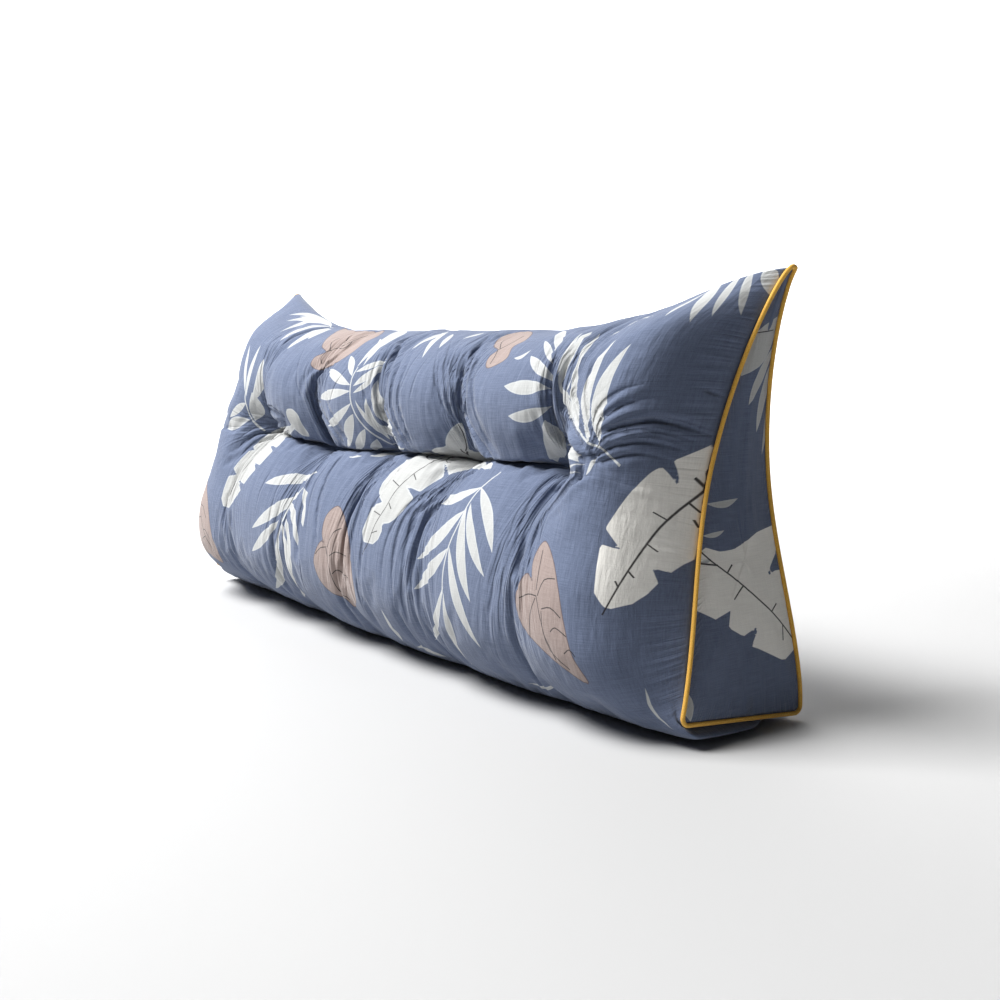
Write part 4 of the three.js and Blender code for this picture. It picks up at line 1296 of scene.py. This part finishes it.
def cover_cloth():
    material, tree, shader, place = cloth_material("cover_cloth")
    group = stroke_group()

    def covered(label, slots, out=0):
        """The most that any stroke of the face does"""
        total = None
        for k in range(slots):
            pair = [stored(tree, f"{label}_{letter}{k}", 1) for letter in "ab"]
            share = node(tree, "ShaderNodeGroup", place, *pair, out=out, node_tree=group)
            total = share if total is None else calc(tree, "MAXIMUM", total, share)
        return total

    def grain(scale, detail=3.0):
        stretched = node(tree, "ShaderNodeVectorMath", place, scale, operation="MULTIPLY")
        return node(tree, "ShaderNodeTexNoise", stretched, None, 1.0, detail, GRAIN_ROUGH)

    weft, warp, fleck = grain((0.05, 1.9, 1.0)), grain((1.9, 0.06, 1.0)), grain((1.1, 1.1, 1.0), 2.0)
    threads = weighted(tree, (weft, 0.5), (warp, 0.32), (fleck, 0.18))
    tone = ramp(tree, threads, 0.34, 0.66)
    colour, white, inner, warm_painted_light, brown = (
        blend(tree, tone, *pair) for pair in (DYED, WHITE, INNER, WARM_PAINTED_LIGHT, BROWN))
    cream, sand, tan = (stored(tree, label) for label, _ in OUTLINES)
    tan_edge = calc(tree, "SUBTRACT", 1.0, ramp(tree, calc(tree, "ABSOLUTE", tan), 0.25, 0.75))
    within = covered("leaflet", LEAFLET_SLOTS, 1)
    for share, over in (  # from the lowest layer of the print up
        (ramp(tree, tan, *EDGE), brown),
        (calc(tree, "MULTIPLY", tan_edge, 0.75), BROWN_EDGE),
        (ramp(tree, cream, *EDGE), blend(tree, ramp(tree, cream, 0.6, 1.8), white, inner)),
        # sand leaves take the warm tone lifted by painted light, which stands in for light on the dim right
        # side
        (ramp(tree, sand, *EDGE), warm_painted_light),
        (covered("leaflet", LEAFLET_SLOTS), blend(tree, calc(tree, "MULTIPLY", within, 0.7), white, inner)),
        (calc(tree, "MULTIPLY", covered("line", LINE_SLOTS), 0.95), VEIN),
    ):
        colour = blend(tree, share, colour, over)
    tree.links.new(colour, shader.inputs["Base Color"])
    fill(shader, Roughness=0.92, Specular_IOR_Level=0.25, Sheen_Weight=0.18, Sheen_Roughness=0.5)
    # height in mm: threads, crinkles along the pull of the cloth, pleats
    round_girth = xyz(tree, place)[1]
    crinkle = grain((0.22, 0.035, 1.0), 4.0)
    height = weighted(tree, (threads, THREAD_HEIGHT), (crinkle, CRINKLE_HEIGHT))
    for k in range(PLEAT_LAYERS):
        number, tall = stored(tree, f"pleat_q{k}"), stored(tree, f"pleat_s{k}")
        at = node(tree, "ShaderNodeCombineXYZ", number, calc(tree, "MULTIPLY", round_girth, 0.02), 3.0 * k)
        wander = node(tree, "ShaderNodeTexNoise", at, None, 0.6, 2.0, NOISE_PLAIN)
        uneven = node(tree, "ShaderNodeTexNoise", at, None, 1.1, 1.0, NOISE_PLAIN)
        turn = calc(tree, "ADD", number, calc(tree, "MULTIPLY", wander, PLEAT_WANDER))
        fold = calc(tree, "SINE", calc(tree, "MULTIPLY", turn, math.pi))
        fold = calc(tree, "POWER", calc(tree, "ABSOLUTE", fold), PLEAT_POWER)
        fold = calc(tree, "MULTIPLY", fold, ramp(tree, uneven, 0.3, 0.7, 0.15, 1.0))
        height = calc(tree, "ADD", height, calc(tree, "MULTIPLY", fold, tall))
    valleys = calc(tree, "MULTIPLY", covered("valley", VALLEY_SLOTS, 2), VALLEY_HEIGHT)
    relief(tree, shader, calc(tree, "SUBTRACT", height, valleys), 1.0, MM)
    return material


def piping_cloth():
    material, tree, shader, place = cloth_material("piping_cloth")
    weave = node(tree, "ShaderNodeTexNoise", place, None, CORD_GRAIN, 3.0, GRAIN_ROUGH)
    colour = blend(tree, ramp(tree, weave, 0.35, 0.65), *YELLOW)
    tree.links.new(colour, shader.inputs["Base Color"])
    fill(shader, Roughness=0.85, Sheen_Weight=0.15)
    relief(tree, shader, weave, CORD_BUMP, CORD_BUMP_HEIGHT)
    return material


CLOTH, CORD = cover_cloth(), piping_cloth()


# ---------------------------------------------------------------- pieces
def add_body():
    rows, cols = U.shape[0], U.shape[1] - 1
    points = cover[:, :-1].reshape(-1, 3)
    uw = np.stack([U, W], -1)
    faces = grid_faces(rows, cols, True).tolist()
    corner_uw = list(uw.reshape(-1, 2)[grid_faces(rows, cols + 1, False)])
    point_uw = uw[:, :-1].reshape(-1, 2)
    # caps under the end panels
    extra, more, v_ring = [], [], V[0, :-1]
    total = len(points)
    for side, row in ((-1, 0), (1, rows - 1)):
        last = np.arange(cols) + row * cols
        for ring in CAP_RINGS:
            extra.append(panel_surface(side, v_ring, np.full(cols, ring), -GAP))
            here = total + np.arange(cols)
            total += cols
            more.append(np.stack([last, here, np.roll(here, -1), np.roll(last, -1)], -1)[:, ::side])
            last = here
        extra.append(panel_surface(side, v_ring[:1], np.zeros(1), -GAP))
        tip = np.full(cols, total)
        total += 1
        more.append(np.stack([last, tip, tip, np.roll(last, -1)], -1)[:, ::side])
    caps = [list(dict.fromkeys(f)) for f in np.concatenate(more).tolist()]  # three corners at the tips
    extra = np.concatenate(extra)
    corner_uw += [np.full((len(f), 2), UNPRINTED) for f in caps]
    everywhere = np.concatenate([point_uw, np.full((len(extra), 2), UNPRINTED)])
    fine = [np.zeros(total) for _ in range(2 * PLEAT_LAYERS)]
    for values, made in zip(fine, fine_pleats()):
        values[: len(point_uw)] = made[:, :-1].ravel()
    points = np.concatenate([points, extra])
    return cloth_mesh("cushion_cover", points, faces + caps, corner_uw, everywhere, fine)


def add_panel(word, side):
    ring, place = np.meshgrid(np.linspace(1, PANEL_CORE, PANEL_RINGS), v_of(GIRTH[:-1]), indexing="ij")
    soft = PANEL_WAVE * (noise_field(ring * 5 + 3, place * 1.1 + 4, 11) - 0.5) * smooth((1 - ring) / 0.25)
    inner, outer = (panel_surface(side, place, ring, lift) for lift in (0.0, PANEL_THICKNESS))
    for sheet in (inner, outer):
        sheet[..., 0] += side * soft
    rows, cols = ring.shape
    points = np.concatenate([inner[::-1].reshape(-1, 3), outer.reshape(-1, 3)])
    last = len(points) - 1
    faces = grid_faces(2 * rows, cols, True).tolist()
    faces += [list(range(cols)), list(range(last, last - cols, -1))]
    uw = np.stack([PANEL_AT[side] + points[:, 1], points[:, 2]], -1)
    corner_uw = [uw[f] for f in faces]
    rim, turn = (np.concatenate([grid[::-1].ravel(), grid.ravel()]) for grid in (ring, place))
    pucker = PANEL_PUCKER * bell(1 - rim, PANEL_PUCKER_REACH) * smooth(np.abs(around(turn, UNDER_MID)) / 0.5)
    fine = [turn * 9, pucker] + [turn * 0] * (2 * PLEAT_LAYERS - 2)
    return cloth_mesh(f"panel_{word}", points, faces, corner_uw, uw, fine)


def add_piping(word, side):
    edge = end_seam(v_of(GIRTH[:-1]), side)
    x = side * (end_x(edge[:, 1], side) + PIPING_BEYOND)
    centre = np.concatenate([x[:, None], edge[:, :2] + edge[:, 2:] * PIPING_OUT[side]], -1)
    ahead = np.roll(centre, -1, 0) - np.roll(centre, 1, 0)
    ahead /= np.linalg.norm(ahead, axis=1, keepdims=True)
    across = np.cross((1.0, 0, 0), ahead)
    across /= np.linalg.norm(across, axis=1, keepdims=True)
    up = np.cross(ahead, across)
    turns = (np.arange(CORD_SIDES) * 2 * np.pi / CORD_SIDES)[:, None]
    points = centre[:, None] + PIPING_RADIUS * (across[:, None] * np.cos(turns) + up[:, None] * np.sin(turns))
    rows, cols = len(centre), CORD_SIDES
    faces = grid_faces(rows + 1, cols, True) % (rows * cols)
    mesh = smooth_mesh(f"cord_{word}", metres(points.reshape(-1, 3)).tolist(), faces.tolist())
    seam_line = np.concatenate([points[:, 0], points[:1, 0]])
    along = np.concatenate([[0], np.cumsum(np.linalg.norm(np.diff(seam_line, axis=0), axis=1))])
    girth = np.arange(cols + 1) * 2 * np.pi * PIPING_RADIUS / cols
    uw = np.stack(np.meshgrid(along, girth, indexing="ij"), -1).reshape(-1, 2)
    lay_cloth(mesh, uw[grid_faces(rows + 1, cols + 1, False)])
    mesh.materials.append(CORD)
    return placed(f"cord_{word}", mesh)


def outward(obj):
    """Turns every face of a closed mesh to point out"""
    mesh = obj.data
    p = np.empty(len(mesh.vertices) * 3)
    mesh.vertices.foreach_get("co", p)
    p = p.reshape(-1, 3)
    mesh.calc_loop_triangles()
    tri = np.empty(len(mesh.loop_triangles) * 3, int)
    mesh.loop_triangles.foreach_get("vertices", tri)
    a, b, c = (p[tri.reshape(-1, 3)[:, k]] for k in range(3))
    if (a * np.cross(b, c)).sum() < 0:
        mesh.flip_normals()
    return obj


body = outward(add_body())
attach(body, "root")
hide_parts("cushion_body")

for word, side in (("left", -1), ("right", 1)):
    panel = outward(add_panel(word, side))
    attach(panel, "root")
    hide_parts(f"end_panel_{word}")
    ring = end_seam(v_of(GIRTH[:-1]), side)[:, :2] * MM
    y, z = ring[:, 0], ring[:, 1]
    cut = abs((y * np.roll(z, -1) - np.roll(y, -1) * z).sum()) / 2
    cord = outward(add_piping(word, side))
    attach(cord, "root")
    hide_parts(f"piping_{word}")

# ---------------------------------------------------------------- stage
SWEEP_FROM, SWEEP_RADIUS, SWEEP_WIDTH = 2.2, 1.6, 18.0  # metres, behind the cushion in the view
SWEEP_FRONT, SWEEP_TOP, SWEEP_STEPS = -6.0, 4.0, 17
FLOOR_TONE, FLOOR_ROUGHNESS = (0.48, 0.48, 0.48, 1), 0.9
SKY, SKY_STRENGTH = (0.95, 0.97, 1.0, 1), 0.045
LIGHTS = [  # name, place in metres, what it faces, size, watts
    ("key", (-1.3, -1.72, 3.1), (-0.1, 0, 0.15), 1.9, 330),
    ("sweep", (-1.9, 1.9, 2.8), (-3.4, 3.0, 0.5), 2.6, 300),
]

away = np.array([-math.sin(math.radians(VIEW_AZIMUTH)), math.cos(math.radians(VIEW_AZIMUTH))])
beside = np.array([-away[1], away[0]])
bend = np.linspace(0, math.pi / 2, SWEEP_STEPS)
profile = [(SWEEP_FRONT, 0.0)]
profile += zip(SWEEP_FROM + SWEEP_RADIUS * np.sin(bend), SWEEP_RADIUS * (1 - np.cos(bend)))
profile.append((SWEEP_FROM + SWEEP_RADIUS, SWEEP_TOP))
spots = [(*(away * d + beside * side), h) for d, h in profile for side in (-SWEEP_WIDTH, SWEEP_WIDTH)]
strips = [(2 * k, 2 * k + 1, 2 * k + 3, 2 * k + 2) for k in range(len(profile) - 1)]
floor = placed("floor", smooth_mesh("floor", spots, strips))
pale_floor = bpy.data.materials.new("pale_floor")
pale_floor.use_nodes = True
fill(pale_floor.node_tree.nodes["Principled BSDF"], Base_Color=FLOOR_TONE, Roughness=FLOOR_ROUGHNESS)
floor.data.materials.append(pale_floor)

for name, place, aim, size, watts in LIGHTS:
    lamp = placed(name, bpy.data.lights.new(name, "AREA"))
    lamp.data.size, lamp.data.energy = size, watts
    lamp.location = place
    lamp.rotation_euler = (Vector(aim) - Vector(place)).to_track_quat("-Z", "Y").to_euler()
world = bpy.data.worlds.new("soft_sky")
bpy.context.scene.world = world
world.use_nodes = True
fill(world.node_tree.nodes["Background"], Color=SKY, Strength=SKY_STRENGTH)
bpy.context.scene.view_settings.view_transform = "Standard"
